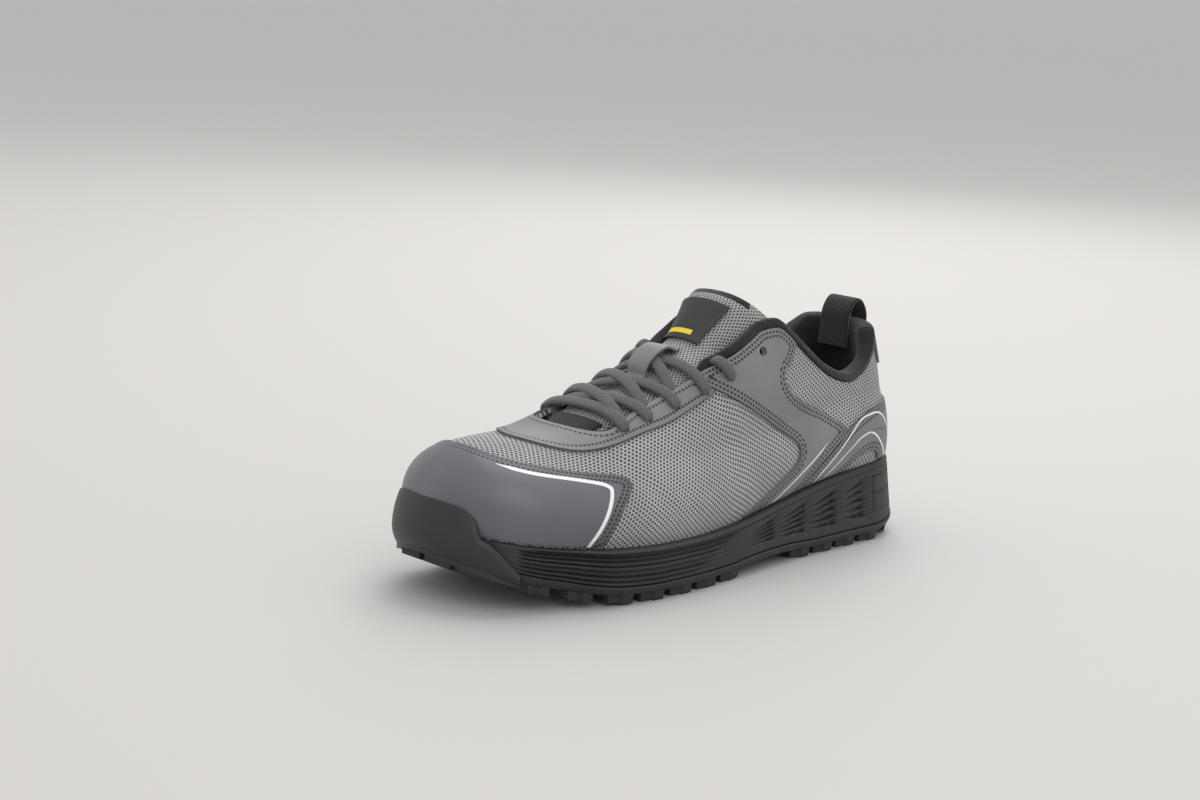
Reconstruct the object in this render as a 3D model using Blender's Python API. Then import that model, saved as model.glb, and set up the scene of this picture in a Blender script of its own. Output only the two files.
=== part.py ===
# A low safety sneaker for the left foot, built as its maker joins it.
# Toe towards -X, outer (lateral) side towards -Y, floor at Z = 0. All sizes are in metres.
import math
from collections import namedtuple

import bmesh
import bpy
import numpy as np
from mathutils import Vector

# Driving sizes, in metres: a European size 42 last under a cup sole.
SOLE_LENGTH = 0.302
SOLE_WIDTH = 0.108
RIM_HEIGHT = 0.042
INSTEP_HEIGHT = 0.130
TOE_SPRING = 0.025
TOE_ROUND = 0.046
HEEL_ROUND = 0.040
CUP_DEPTH = 0.006
UPPER_INSET = 0.0068

# Each row is one section of the last. along runs from the toe (0) to the heel (1) of the sole.
# lateral and medial are half widths in SOLE_WIDTH, rim is the sole's top edge in RIM_HEIGHT,
# ridge is the upper's crest in INSTEP_HEIGHT and spring is the underside's rise in TOE_SPRING.
Section = namedtuple("Section", "along lateral medial rim ridge fullness spring")
SECTIONS = [
    Section(0.00, 0.350, 0.455, 0.87, 0.370, 2.2, 1.00),
    Section(0.01, 0.356, 0.458, 0.86, 0.420, 2.2, 0.88),
    Section(0.03, 0.368, 0.463, 0.83, 0.470, 2.3, 0.72),
    Section(0.06, 0.385, 0.470, 0.79, 0.515, 2.4, 0.55),
    Section(0.10, 0.408, 0.480, 0.74, 0.538, 2.4, 0.39),
    Section(0.15, 0.438, 0.490, 0.69, 0.545, 2.4, 0.25),
    Section(0.20, 0.468, 0.498, 0.65, 0.552, 2.35, 0.12),
    Section(0.26, 0.495, 0.505, 0.62, 0.585, 2.3, 0.03),
    Section(0.33, 0.508, 0.492, 0.60, 0.650, 2.2, 0.00),
    Section(0.40, 0.502, 0.460, 0.60, 0.715, 2.1, 0.00),
    Section(0.48, 0.475, 0.420, 0.62, 0.815, 2.1, 0.00),
    Section(0.54, 0.450, 0.392, 0.655, 0.895, 2.5, 0.04),
    Section(0.58, 0.432, 0.378, 0.69, 0.950, 2.6, 0.05),
    Section(0.64, 0.410, 0.360, 0.75, 1.030, 2.6, 0.05),
    Section(0.72, 0.388, 0.350, 0.835, 1.100, 2.3, 0.00),
    Section(0.80, 0.374, 0.352, 0.90, 1.160, 2.1, 0.00),
    Section(0.88, 0.362, 0.356, 0.94, 1.200, 1.95, 0.00),
    Section(0.95, 0.350, 0.350, 0.97, 1.220, 1.95, 0.06),
    Section(1.00, 0.340, 0.340, 1.00, 1.230, 1.95, 0.32),
]

# The edge of the throat and the collar, as heights in INSTEP_HEIGHT.
Edge = namedtuple("Edge", "along lateral medial")
EDGES = [
    Edge(0.29, 0.597, 0.597),
    Edge(0.33, 0.622, 0.630),
    Edge(0.40, 0.668, 0.668),
    Edge(0.48, 0.733, 0.733),
    Edge(0.54, 0.788, 0.790),
    Edge(0.58, 0.832, 0.845),
    Edge(0.61, 0.864, 0.880),
    Edge(0.64, 0.870, 0.870),
    Edge(0.68, 0.812, 0.820),
    Edge(0.72, 0.742, 0.765),
    Edge(0.76, 0.680, 0.730),
    Edge(0.80, 0.642, 0.710),
    Edge(0.83, 0.630, 0.705),
    Edge(0.87, 0.654, 0.720),
    Edge(0.91, 0.715, 0.755),
    Edge(0.95, 0.780, 0.790),
    Edge(1.00, 0.800, 0.800),
]


def smooth(rows, column, along):
    xs = [row.along for row in rows]
    ys = [getattr(row, column) for row in rows]
    along = min(max(along, xs[0]), xs[-1])
    k = max(i for i in range(len(xs) - 1) if xs[i] <= along)
    slopes = [(ys[i + 1] - ys[i]) / (xs[i + 1] - xs[i]) for i in range(len(xs) - 1)]
    ends = []
    for i in (k, k + 1):
        before, after = slopes[max(i - 1, 0)], slopes[min(i, len(slopes) - 1)]
        ends.append(0.0 if before * after <= 0 else 2 * before * after / (before + after))
    step = xs[k + 1] - xs[k]
    t = (along - xs[k]) / step
    value = ys[k] * (1 + 2 * t) * (1 - t) ** 2 + ys[k + 1] * t * t * (3 - 2 * t)
    return value + step * t * (1 - t) * (ends[0] * (1 - t) - ends[1] * t)


def end_cap(distance, length, reach, power):
    near = min(max(min(distance, length - distance), 0.0) / reach, 1.0)
    return (1 - (1 - near) ** power) ** (1 / power)


def outline(along, side, inset=0.0):
    length = SOLE_LENGTH - 2 * inset
    lateral = smooth(SECTIONS, "lateral", along) * SOLE_WIDTH
    medial = smooth(SECTIONS, "medial", along) * SOLE_WIDTH
    end, power = (TOE_ROUND, 2.15) if along < 0.5 else (HEEL_ROUND, 2.2)
    cap = end_cap(along * length, length, end - inset, power)
    middle = (medial - lateral) / 2
    half = ((medial + lateral) / 2 - inset) * cap
    return -SOLE_LENGTH / 2 + inset + along * length, middle + side * half, middle


def rim_height(along):
    return smooth(SECTIONS, "rim", along) * RIM_HEIGHT


def share_at(x):
    return (x + SOLE_LENGTH / 2) / SOLE_LENGTH


def cup_floor(x):
    return rim_height(share_at(x)) - CUP_DEPTH


def skin(along, reach, side):
    """Point of the upper's outer face: reach is 1 at the sole and 0 on the crest."""
    x, y, middle = outline(along, side, UPPER_INSET)
    floor = cup_floor(x)
    crest = smooth(SECTIONS, "ridge", along) * INSTEP_HEIGHT
    power = smooth(SECTIONS, "fullness", along)
    lift = (crest - floor) * (1 - min(reach, 1.0) ** power) ** (1 / power)
    half = abs(y - middle)
    free = max(0.0, lift - CUP_DEPTH)
    swell = 0.004 * math.sin(min(1.0, free / 0.036) * math.pi) * min(1.0, half / 0.02)
    heel = max(0.0, (along - 0.8) / 0.2) ** 2
    x -= heel * (0.0010 * math.sin(min(1.0, free / 0.040) * math.pi) + 0.016 * (free / 0.060) ** 1.4)
    swell *= 1 - 0.8 * heel
    return np.array((x, middle + side * (half * reach + swell), floor + lift))


def edge_reach(along, side):
    floor = cup_floor(outline(along, side, UPPER_INSET)[0])
    crest = smooth(SECTIONS, "ridge", along) * INSTEP_HEIGHT
    power = smooth(SECTIONS, "fullness", along)
    edge = smooth(EDGES, "lateral" if side < 0 else "medial", along) * INSTEP_HEIGHT
    share = min((edge - floor) / (crest - floor), 1.0)
    return (1 - share**power) ** (1 / power)


# Thicknesses and gaps.
CLEARANCE = 0.0003
WALL = 0.0022
OVERLAY = 0.0010
INSOLE = 0.0040
PLATE = 0.0040
LUG = 0.0042
RIM_BAND = 0.0065
BUMPER = 0.0026
TOE_TUCK = 0.0030
MIDSOLE_INSET = 0.0012
HEEL_SET = 0.0045
GROOVE = 0.0009
RIM_ROUND = 0.0012
WALL_SHARES = [0.0, 0.12, 0.24, 0.36, 0.48, 0.60, 0.72, 0.95]
EYELET_RADIUS = 0.0023
LACE_WIDTH = 0.0058
LACE_THICKNESS = 0.0024
LOOP_WIDTH = 0.018
LOOP_THICKNESS = 0.0016

# The throat's front end and how the wall's columns lean forward to it.
THROAT_FRONT = 0.290
THROAT_ROUND = 0.010
FAN_END = 0.12
LEAN_END = 0.70
LEVELS = 7
STATIONS = [
    0.003, 0.012, 0.028, 0.05, 0.08, 0.12, 0.165, 0.21, 0.26, 0.31, 0.36, 0.41, 0.46, 0.51, 0.56,
    0.60, 0.64, 0.68, 0.72, 0.76, 0.80, 0.84, 0.88, 0.915, 0.945, 0.97, 0.99,
]
ROUND = [(0.0, -1), *[(s, -1) for s in STATIONS], (1.0, 1), *[(s, 1) for s in reversed(STATIONS)]]

# Side views of the overlays, heights in INSTEP_HEIGHT. An overlay's foot follows the rim.
SidePoint = namedtuple("SidePoint", "along height")
TOE_CAP_EDGE = [
    SidePoint(0.060, 0.62),
    SidePoint(0.072, 0.530),
    SidePoint(0.093, 0.513),
    SidePoint(0.139, 0.492),
    SidePoint(0.197, 0.464),
    SidePoint(0.255, 0.446),
    SidePoint(0.272, 0.434),
    SidePoint(0.278, 0.416),
    SidePoint(0.272, 0.395),
    SidePoint(0.247, 0.329),
    SidePoint(0.228, 0.250),
    SidePoint(0.212, 0.150),
]
SADDLE_FRONT = [
    SidePoint(0.430, 0.84),
    SidePoint(0.448, 0.745),
    SidePoint(0.471, 0.705),
    SidePoint(0.525, 0.636),
    SidePoint(0.590, 0.549),
    SidePoint(0.648, 0.470),
    SidePoint(0.662, 0.440),
    SidePoint(0.664, 0.405),
    SidePoint(0.653, 0.369),
    SidePoint(0.598, 0.293),
    SidePoint(0.550, 0.235),
    SidePoint(0.500, 0.150),
]
SADDLE_BACK = [
    SidePoint(0.665, 0.180),
    SidePoint(0.683, 0.265),
    SidePoint(0.722, 0.347),
    SidePoint(0.760, 0.410),
    SidePoint(0.788, 0.462),
    SidePoint(0.737, 0.538),
    SidePoint(0.690, 0.585),
    SidePoint(0.656, 0.630),
    SidePoint(0.640, 0.680),
    SidePoint(0.642, 0.722),
    SidePoint(0.658, 0.750),
    SidePoint(0.700, 0.900),
]
COUNTER_EDGE = [
    SidePoint(0.690, 0.278),
    SidePoint(0.727, 0.347),
    SidePoint(0.765, 0.410),
    SidePoint(0.797, 0.465),
    SidePoint(0.840, 0.505),
    SidePoint(0.884, 0.530),
    SidePoint(0.930, 0.540),
    SidePoint(1.040, 0.540),
]
TAB_EDGE = [
    SidePoint(0.880, 0.95),
    SidePoint(0.897, 0.730),
    SidePoint(0.915, 0.680),
    SidePoint(0.950, 0.662),
    SidePoint(1.040, 0.655),
]
# Half plan of the eyestay, its half width in SOLE_WIDTH.
PlanPoint = namedtuple("PlanPoint", "along half_width")
EYESTAY_EDGE = [
    PlanPoint(0.160, 0.000),
    PlanPoint(0.163, 0.050),
    PlanPoint(0.175, 0.120),
    PlanPoint(0.193, 0.176),
    PlanPoint(0.222, 0.227),
    PlanPoint(0.255, 0.262),
    PlanPoint(0.290, 0.281),
    PlanPoint(0.320, 0.291),
    PlanPoint(0.365, 0.300),
    PlanPoint(0.409, 0.302),
    PlanPoint(0.460, 0.300),
    PlanPoint(0.540, 0.290),
]

# Eyelets from the toe up, heights in INSTEP_HEIGHT. The laces use all but the last.
Eyelet = namedtuple("Eyelet", "along height")
EYELETS = [
    Eyelet(0.305, 0.568),
    Eyelet(0.351, 0.595),
    Eyelet(0.409, 0.630),
    Eyelet(0.471, 0.671),
    Eyelet(0.522, 0.716),
    Eyelet(0.598, 0.792),
]

# The tongue's middle line, its half width, and how far its edges fall behind that line.
TongueRow = namedtuple("TongueRow", "along height half drop")
TONGUE = [
    TongueRow(0.240, 0.500, 0.0120, 0.0020),
    TongueRow(0.280, 0.550, 0.0150, 0.0030),
    TongueRow(0.330, 0.612, 0.0190, 0.0060),
    TongueRow(0.400, 0.680, 0.0205, 0.0105),
    TongueRow(0.450, 0.742, 0.0205, 0.0130),
    TongueRow(0.500, 0.811, 0.0205, 0.0160),
    TongueRow(0.530, 0.880, 0.0202, 0.0185),
    TongueRow(0.560, 0.955, 0.0193, 0.0180),
    TongueRow(0.582, 1.010, 0.0212, 0.0150),
]
TONGUE_THICKNESS = 0.0050

# The collar pad starts here along the sole, and hangs this far inside.
PAD_START = 0.585
PAD_DEPTH = 0.040

# Lug rows: along the sole, share of its length, skew and number across.
LugRow = namedtuple("LugRow", "along length skew count")
LUG_ROWS = [
    LugRow(0.060, 0.024, 0.10, 3),
    LugRow(0.112, 0.034, 0.25, 4),
    LugRow(0.172, 0.042, 0.30, 4),
    LugRow(0.232, 0.042, 0.30, 4),
    LugRow(0.292, 0.042, 0.30, 4),
    LugRow(0.352, 0.042, 0.30, 4),
    LugRow(0.412, 0.042, 0.30, 4),
    LugRow(0.472, 0.042, 0.30, 4),
    LugRow(0.700, 0.040, -0.30, 3),
    LugRow(0.760, 0.042, -0.30, 3),
    LugRow(0.820, 0.042, -0.30, 3),
    LugRow(0.880, 0.042, -0.25, 3),
    LugRow(0.938, 0.034, -0.20, 3),
]

# Wedge grooves in the midsole's side: rear end along the sole, length, and depth.
Louvre = namedtuple("Louvre", "along length depth")
LOUVRES = [
    Louvre(0.532, 0.073, 0.0016),
    Louvre(0.616, 0.076, 0.0020),
    Louvre(0.701, 0.077, 0.0024),
    Louvre(0.794, 0.064, 0.0028),
]
LOUVRE_STEPS = 3


# Clears the scene, and makes the two collections.
for old in list(bpy.data.objects):
    bpy.data.objects.remove(old, do_unlink=True)
shoe = bpy.data.collections.new("safety_sneaker")
tools = bpy.data.collections.new("cutters")
tools.hide_render = True
bpy.context.scene.collection.children.link(shoe)
bpy.context.scene.collection.children.link(tools)


def material(name, colour, roughness):
    made = bpy.data.materials.new(name)
    made.use_nodes = True
    shader = made.node_tree.nodes["Principled BSDF"]
    shader.inputs["Base Color"].default_value = (*colour, 1.0)
    shader.inputs["Roughness"].default_value = roughness
    return made


def make(name, points, faces, colour=(0.5, 0.5, 0.5), roughness=0.6, cutter=False):
    mesh = bpy.data.meshes.new(name)
    mesh.from_pydata([tuple(map(float, p)) for p in points], [], faces)
    work = bmesh.new()
    work.from_mesh(mesh)
    bmesh.ops.remove_doubles(work, verts=work.verts, dist=1e-6)
    bmesh.ops.recalc_face_normals(work, faces=work.faces)
    work.to_mesh(mesh)
    work.free()
    made = bpy.data.objects.new(name, mesh)
    (tools if cutter else shoe).objects.link(made)
    made.hide_render = cutter
    if cutter:
        made.display_type = "WIRE"
    else:
        mesh.materials.append(material(name, colour, roughness))
    return made


def join(target, cutter, operation):
    step = target.modifiers.new(f"{operation.lower()}_{cutter.name}", "BOOLEAN")
    step.operation = operation
    step.object = cutter
    step.solver = "EXACT"
    return target


def strips(rows, columns, wrap, first=0):
    """Triangles between each row of points and the next, all split the same way."""
    faces = []
    for r in range(rows - 1):
        for c in range(columns if wrap else columns - 1):
            low, after = first + r * columns + c, first + r * columns + (c + 1) % columns
            faces += [(low, after, after + columns), (low, after + columns, low + columns)]
    return faces


def shell(name, inner, outer, wrap, **look):
    """Closed solid between two grids of points, shaped (rows, columns, 3)."""
    rows, columns = inner.shape[:2]
    count = rows * columns
    faces = strips(rows, columns, wrap) + strips(rows, columns, wrap, count)
    across = columns if wrap else columns - 1
    for r in (0, rows - 1):
        for c in range(across):
            a, b = r * columns + c, r * columns + (c + 1) % columns
            faces.append((a, b, count + b, count + a))
    if not wrap:
        for c in (0, columns - 1):
            for r in range(rows - 1):
                a, b = r * columns + c, (r + 1) * columns + c
                faces.append((a, b, count + b, count + a))
    return make(name, [*inner.reshape(-1, 3), *outer.reshape(-1, 3)], faces, **look)


def ladder(columns, first):
    """Closes a ring of ROUND columns with rungs from side to side."""
    faces = []
    for i in range(columns // 2):
        a, b = first + i, first + i + 1
        c, d = first + (columns - i - 1) % columns, first + (columns - i) % columns
        faces.append(tuple(dict.fromkeys((a, b, c, d))))
    return [face for face in faces if len(face) > 2]


def block(name, rings, **look):
    """Closed solid from stacked rings of ROUND columns, with laddered ends."""
    rings = np.array(rings)
    rows, columns = rings.shape[:2]
    faces = strips(rows, columns, True) + ladder(columns, 0) + ladder(columns, (rows - 1) * columns)
    return make(name, rings.reshape(-1, 3), faces, **look)


def normals(grid, wrap):
    """Outward unit normals of a grid of points, from its neighbours."""
    if wrap:
        side = np.roll(grid, -1, axis=1) - np.roll(grid, 1, axis=1)
    else:
        side = np.gradient(grid, axis=1)
    up = np.gradient(grid, axis=0)
    found = np.cross(side, up)
    return found / np.linalg.norm(found, axis=2, keepdims=True)


def prism(name, outline_points, axis, near, far):
    """Cutter: an outline in plan (axis z) or side view (axis y), carried from near to far."""
    points = []
    for depth in (near, far):
        for u, v in outline_points:
            points.append((u, v, depth) if axis == "z" else (u, depth, v))
    n = len(outline_points)
    faces = [tuple(range(n)), tuple(range(2 * n - 1, n - 1, -1))]
    faces += [(i, (i + 1) % n, n + (i + 1) % n, n + i) for i in range(n)]
    return make(name, points, faces, cutter=True)


def box_faces(first):
    """Faces of an eight-cornered block: two rings of four points, the second after the first."""
    ring = [(0, 1, 2, 3), (4, 7, 6, 5), (0, 4, 5, 1), (1, 5, 6, 2), (2, 6, 7, 3), (3, 7, 4, 0)]
    return [tuple(first + corner for corner in face) for face in ring]


def place(along):
    return -SOLE_LENGTH / 2 + along * SOLE_LENGTH


def spring(along):
    return smooth(SECTIONS, "spring", along) * TOE_SPRING


def split_height(along):
    """Height of the line where the midsole meets the outsole."""
    return spring(along) + LUG + PLATE


def opening(along, side):
    """Where a wall column that starts at the sole ends on the throat or collar: along, and y."""
    if along >= LEAN_END:
        return along, None
    start = max(along, FAN_END)
    t = (start - FAN_END) / (LEAN_END - FAN_END)
    end = start + (THROAT_FRONT - FAN_END) * (1 - t * t * (3 - 2 * t))
    y = skin(end, edge_reach(end, side), side)[1]
    if along < FAN_END:
        turn = along / FAN_END * math.pi / 2
        middle = outline(end, side)[2]
        end -= THROAT_ROUND / SOLE_LENGTH * math.cos(turn)
        y = middle + (y - middle) * math.sin(turn)
    return end, y


def wall_column(along, side):
    """Points up one column of the upper's outer face, evenly spaced."""
    end, end_y = opening(along, side)
    path = []
    if end_y is None:
        top = math.acos(edge_reach(along, side))
        path = [skin(along, math.cos(top * i / 60), side) for i in range(61)]
    else:
        start_x, start_y, _ = outline(along, side, UPPER_INSET)
        end_x = outline(end, side, UPPER_INSET)[0]
        for i in range(91):
            share = (i / 90) ** 3
            x = start_x + (end_x - start_x) * share
            y = start_y + (end_y - start_y) * share
            here = (x + SOLE_LENGTH / 2 - UPPER_INSET) / (SOLE_LENGTH - 2 * UPPER_INSET)
            _, edge_y, middle = outline(here, side, UPPER_INSET)
            half = abs(edge_y - middle)
            reach = 1.0 if i == 0 else min(abs(y - middle) / max(half, 1e-9), 1.0)
            path.append(skin(here, reach, side))
    path = np.array(path)
    run = np.concatenate([[0], np.cumsum(np.linalg.norm(np.diff(path, axis=0), axis=1))])
    cup = np.interp(path[0, 2] + CUP_DEPTH + 0.0008, path[:31, 2], run[:31])
    marks = np.concatenate([[0], np.linspace(cup, run[-1], LEVELS)])
    return np.column_stack([np.interp(marks, run, path[:, k]) for k in range(3)])


skin_grid = np.stack([wall_column(along, side) for along, side in ROUND], axis=1)
skin_normals = normals(skin_grid, wrap=True)


def over_skin(distance):
    return skin_grid + skin_normals * distance


def skin_at(along, side, height):
    """Point and outward normal of the outer face at a height."""
    floor = cup_floor(outline(along, side, UPPER_INSET)[0])
    crest = smooth(SECTIONS, "ridge", along) * INSTEP_HEIGHT
    power = smooth(SECTIONS, "fullness", along)
    share = min(max((height - floor) / (crest - floor), 0.0), 1.0)
    reach = (1 - share**power) ** (1 / power)
    here = skin(along, reach, side)
    ahead = skin(min(along + 0.002, 1), reach, side) - skin(max(along - 0.002, 0), reach, side)
    rise = skin(along, max(reach - 0.01, 0), side) - here
    facing = np.cross(ahead, rise) * side * -1
    return here, facing / np.linalg.norm(facing)


def side_shape(points):
    """Side view outline in metres, from shares."""
    return [(place(point.along), point.height * INSTEP_HEIGHT) for point in points]


def rim_line(first, last, gap):
    """The sole's rim in side view, with a gap above it."""
    steps = 14
    shares = [first + (last - first) * i / steps for i in range(steps + 1)]
    return [(place(a), rim_height(a) + gap) for a in shares]


# Upper: one wall, open underneath, at the throat and at the collar.
MESH_GREY = (0.38, 0.38, 0.38)
FILM_GREY = (0.20, 0.21, 0.23)
RUBBER = (0.03, 0.031, 0.033)
upper = shell("upper", over_skin(-WALL), over_skin(0), True, colour=MESH_GREY, roughness=0.85)

# Overlays: a second layer over the wall, each cut to its outline.
OVER_GAP = 3 * CLEARANCE


def overlay(name, colour, roughness):
    inner, outer = over_skin(CLEARANCE), over_skin(CLEARANCE + OVERLAY)
    return shell(name, inner, outer, True, colour=colour, roughness=roughness)


FAR = SOLE_WIDTH
SKY = INSTEP_HEIGHT * 1.2
toe_cap = overlay("toe_cap", (0.16, 0.17, 0.19), 0.45)
cap_foot = rim_line(0.222, -0.03, OVER_GAP)
cap_top = [(place(-0.05), 0.62 * INSTEP_HEIGHT)]
cap_outline = cap_foot + cap_top + side_shape(TOE_CAP_EDGE[:-1])
join(toe_cap, prism("toe_cap_outline", cap_outline, "y", -FAR, FAR), "INTERSECT")

counter = overlay("heel_counter", FILM_GREY, 0.55)
counter_outline = side_shape(COUNTER_EDGE) + rim_line(1.04, 0.688, OVER_GAP)
join(counter, prism("counter_outline", counter_outline, "y", -FAR, FAR), "INTERSECT")

heel_tab = overlay("heel_tab", FILM_GREY, 0.55)
tab_outline = side_shape(TAB_EDGE) + [(place(1.04), SKY), (place(0.88), SKY)]
join(heel_tab, prism("heel_tab_outline", tab_outline, "y", -FAR, FAR), "INTERSECT")

saddle_outline = (
    side_shape(SADDLE_FRONT[:-1])
    + rim_line(0.512, 0.672, OVER_GAP)
    + side_shape(SADDLE_BACK[1:])
    + [(place(0.70), SKY), (place(0.43), SKY)]
)
for name, side in (("saddle_lateral", -1), ("saddle_medial", 1)):
    saddle = overlay(name, FILM_GREY, 0.55)
    cutter = prism(f"{name}_outline", saddle_outline, "y", 0.002 * side, FAR * side)
    join(saddle, cutter, "INTERSECT")

eyestay = overlay("eyestay", (0.18, 0.19, 0.21), 0.55)
middle_line = outline(THROAT_FRONT, -1)[2]
half_plan = [(place(point.along), point.half_width * SOLE_WIDTH) for point in EYESTAY_EDGE]
plan = [(x, middle_line - y) for x, y in half_plan]
plan += [(x, middle_line + y) for x, y in reversed(half_plan[1:])]
join(eyestay, prism("eyestay_outline", plan, "z", 0.04, SKY), "INTERSECT")
eyestay_back = [(x - 0.0005, z) for x, z in side_shape(SADDLE_FRONT[:6])]
eyestay_back += [(place(0.66), SKY), (place(0.43), SKY)]
join(eyestay, prism("eyestay_back", eyestay_back, "y", -FAR, FAR), "DIFFERENCE")

# Eyelet holes through the wall and its overlays.
eyelets = []
for side in (-1, 1):
    for eyelet in EYELETS:
        eyelets.append(skin_at(eyelet.along, side, eyelet.height * INSTEP_HEIGHT))
drill = bmesh.new()
for here, facing in eyelets:
    turn = Vector(facing).to_track_quat("Z", "Y").to_matrix().to_4x4()
    turn.translation = Vector(here)
    radii = {"radius1": EYELET_RADIUS, "radius2": EYELET_RADIUS}
    bmesh.ops.create_cone(drill, cap_ends=True, segments=6, depth=0.010, matrix=turn, **radii)
drill_mesh = bpy.data.meshes.new("eyelet_drill")
drill.to_mesh(drill_mesh)
drill.free()
eyelet_drill = bpy.data.objects.new("eyelet_drill", drill_mesh)
eyelet_drill.hide_render = True
eyelet_drill.display_type = "WIRE"
tools.objects.link(eyelet_drill)
for pierced in (upper, eyestay, shoe.objects["saddle_lateral"], shoe.objects["saddle_medial"]):
    join(pierced, eyelet_drill, "DIFFERENCE")


# Midsole: a cup whose rim stands round the foot of the upper, with long grooves in its side.
def tuck(along):
    return TOE_TUCK * max(0.0, min(1.0, (0.22 - along) / 0.06))


def groove(along, index):
    """Depth of the long grooves in the forefoot's side: every second ring is cut in."""
    if not 0 < index < len(WALL_SHARES) - 1:
        return 0.0
    fade = min(1.0, max(0.0, (along - 0.13) / 0.05)) * min(1.0, max(0.0, (0.52 - along) / 0.10))
    return GROOVE * fade * (index % 2)


def midsole_foot(along):
    return split_height(along) + CLEARANCE


def midsole_wall(along, share):
    """How far the side stands in from the outline: the heel draws in towards its rim."""
    return MIDSOLE_INSET + tuck(along) + HEEL_SET * max(0.0, (along - 0.55) / 0.45) ** 1.5 * share


def midsole_level(along, share):
    return midsole_foot(along) + (rim_height(along) - midsole_foot(along)) * share


def sole_ring(inset_of, height_of):
    ring = []
    for along, side in ROUND:
        x, y, _ = outline(along, side, inset_of(along))
        ring.append((x, y, height_of(share_at(x))))
    return ring


midsole_rings = []
for index, share in enumerate(WALL_SHARES):
    midsole_rings.append(
        sole_ring(
            lambda a, s=share, i=index: midsole_wall(a, s) + groove(a, i),
            lambda a, s=share: midsole_level(a, s),
        )
    )
midsole_rings.append(sole_ring(lambda a: midsole_wall(a, 0.98) + RIM_ROUND, rim_height))
midsole_rings.append(sole_ring(lambda a: RIM_BAND, rim_height))
midsole_rings.append(sole_ring(lambda a: RIM_BAND, lambda a: rim_height(a) - CUP_DEPTH - CLEARANCE))
midsole = block("midsole", midsole_rings, colour=RUBBER, roughness=0.5)

# Louvres: short wedge grooves in the midsole's side, in groups of four that open towards the heel.
louvre_points, louvre_faces = [], []
for side in (-1, 1):
    for group in LOUVRES:
        for step in range(LOUVRE_STEPS):
            level = 0.30 + 0.22 * step
            rear = group.along + group.length * (1 - 0.06 * step)
            louvre_faces += box_faces(len(louvre_points))
            for along, deep, thick in ((group.along, 0.0, 0.0004), (rear, group.depth, 0.0016)):
                z = midsole_level(along, level)
                wall = midsole_wall(along, level)
                corners = ((-0.003, -thick), (-0.003, thick), (deep, thick), (deep, -thick))
                for inwards, upwards in corners:
                    x, y, _ = outline(along, side, wall + inwards)
                    louvre_points.append((x, y, z + upwards))
join(midsole, make("louvre_cutters", louvre_points, louvre_faces, cutter=True), "DIFFERENCE")

# Outsole: a thin plate with its lugs fused on.
plate_rings = [
    sole_ring(lambda a: 0.0014 + tuck(a), lambda a: split_height(a)),
    sole_ring(lambda a: 0.0010 + tuck(a), lambda a: split_height(a) - 0.0012),
    sole_ring(lambda a: 0.0030 + tuck(a), lambda a: split_height(a) - PLATE),
]
outsole = block("outsole", plate_rings, colour=RUBBER, roughness=0.6)
LUG_GAP = 0.0045
LUG_EDGE = 0.0022
lug_points, lug_faces = [], []


def side_y(along, side, inset):
    """Side of the inset outline at a true place along the sole."""
    own = (along * SOLE_LENGTH - inset) / (SOLE_LENGTH - 2 * inset)
    return outline(min(max(own, 0.0), 1.0), side, inset)[1]


for row in LUG_ROWS:
    low_y = side_y(row.along, -1, LUG_EDGE + tuck(row.along))
    high_y = side_y(row.along, 1, LUG_EDGE + tuck(row.along))
    width = (high_y - low_y + LUG_GAP) / row.count
    for index in range(row.count):
        y0 = low_y + index * width
        y1 = y0 + width - LUG_GAP
        lug_faces += box_faces(len(lug_points))
        for level in (0, 1):
            for share, y in ((-0.5, y0), (-0.5, y1), (0.5, y1), (0.5, y0)):
                slant = row.skew * abs((y0 + y1) / 2) / SOLE_WIDTH * 0.16
                along = row.along + row.length * share + slant
                inner = LUG_EDGE + tuck(along) + 0.0006 * (1 - level)
                edge = side_y(along, -1 if y < 0 else 1, inner)
                held = max(y, edge) if y < 0 else min(y, edge)
                z = spring(along) + (LUG + 0.0015) * level
                lug_points.append((place(along), held, z))
join(outsole, make("lug_blocks", lug_points, lug_faces, cutter=True), "UNION")

# Insole, lying on the cup's floor inside the wall.
INSOLE_INSET = UPPER_INSET + WALL + 0.0006
insole_rings = [
    sole_ring(lambda a: INSOLE_INSET, lambda a: rim_height(a) - CUP_DEPTH),
    sole_ring(lambda a: INSOLE_INSET + 0.0005, lambda a: rim_height(a) - CUP_DEPTH + INSOLE),
]
insole = block("insole", insole_rings, colour=(0.03, 0.03, 0.03), roughness=0.9)

# Toe bumper: sole rubber turned up over the toe cap, outside the midsole.
BumperRow = namedtuple("BumperRow", "along height")
BUMPER_TOP = [
    BumperRow(0.000, 0.368),
    BumperRow(0.012, 0.352),
    BumperRow(0.020, 0.332),
    BumperRow(0.030, 0.296),
    BumperRow(0.050, 0.228),
    BumperRow(0.080, 0.140),
]
SOLE_SIDE = MIDSOLE_INSET + TOE_TUCK
BUMPER_DROP = 0.0022


def column_at(along, side, height):
    """Point and outward normal where a column of the wall passes a height."""
    column = ROUND.index((along, side))
    heights = skin_grid[:, column, 2]
    point = [np.interp(height, heights, skin_grid[:, column, k]) for k in range(3)]
    facing = np.array([np.interp(height, heights, skin_normals[:, column, k]) for k in range(3)])
    return np.array(point), facing / np.linalg.norm(facing)


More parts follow.
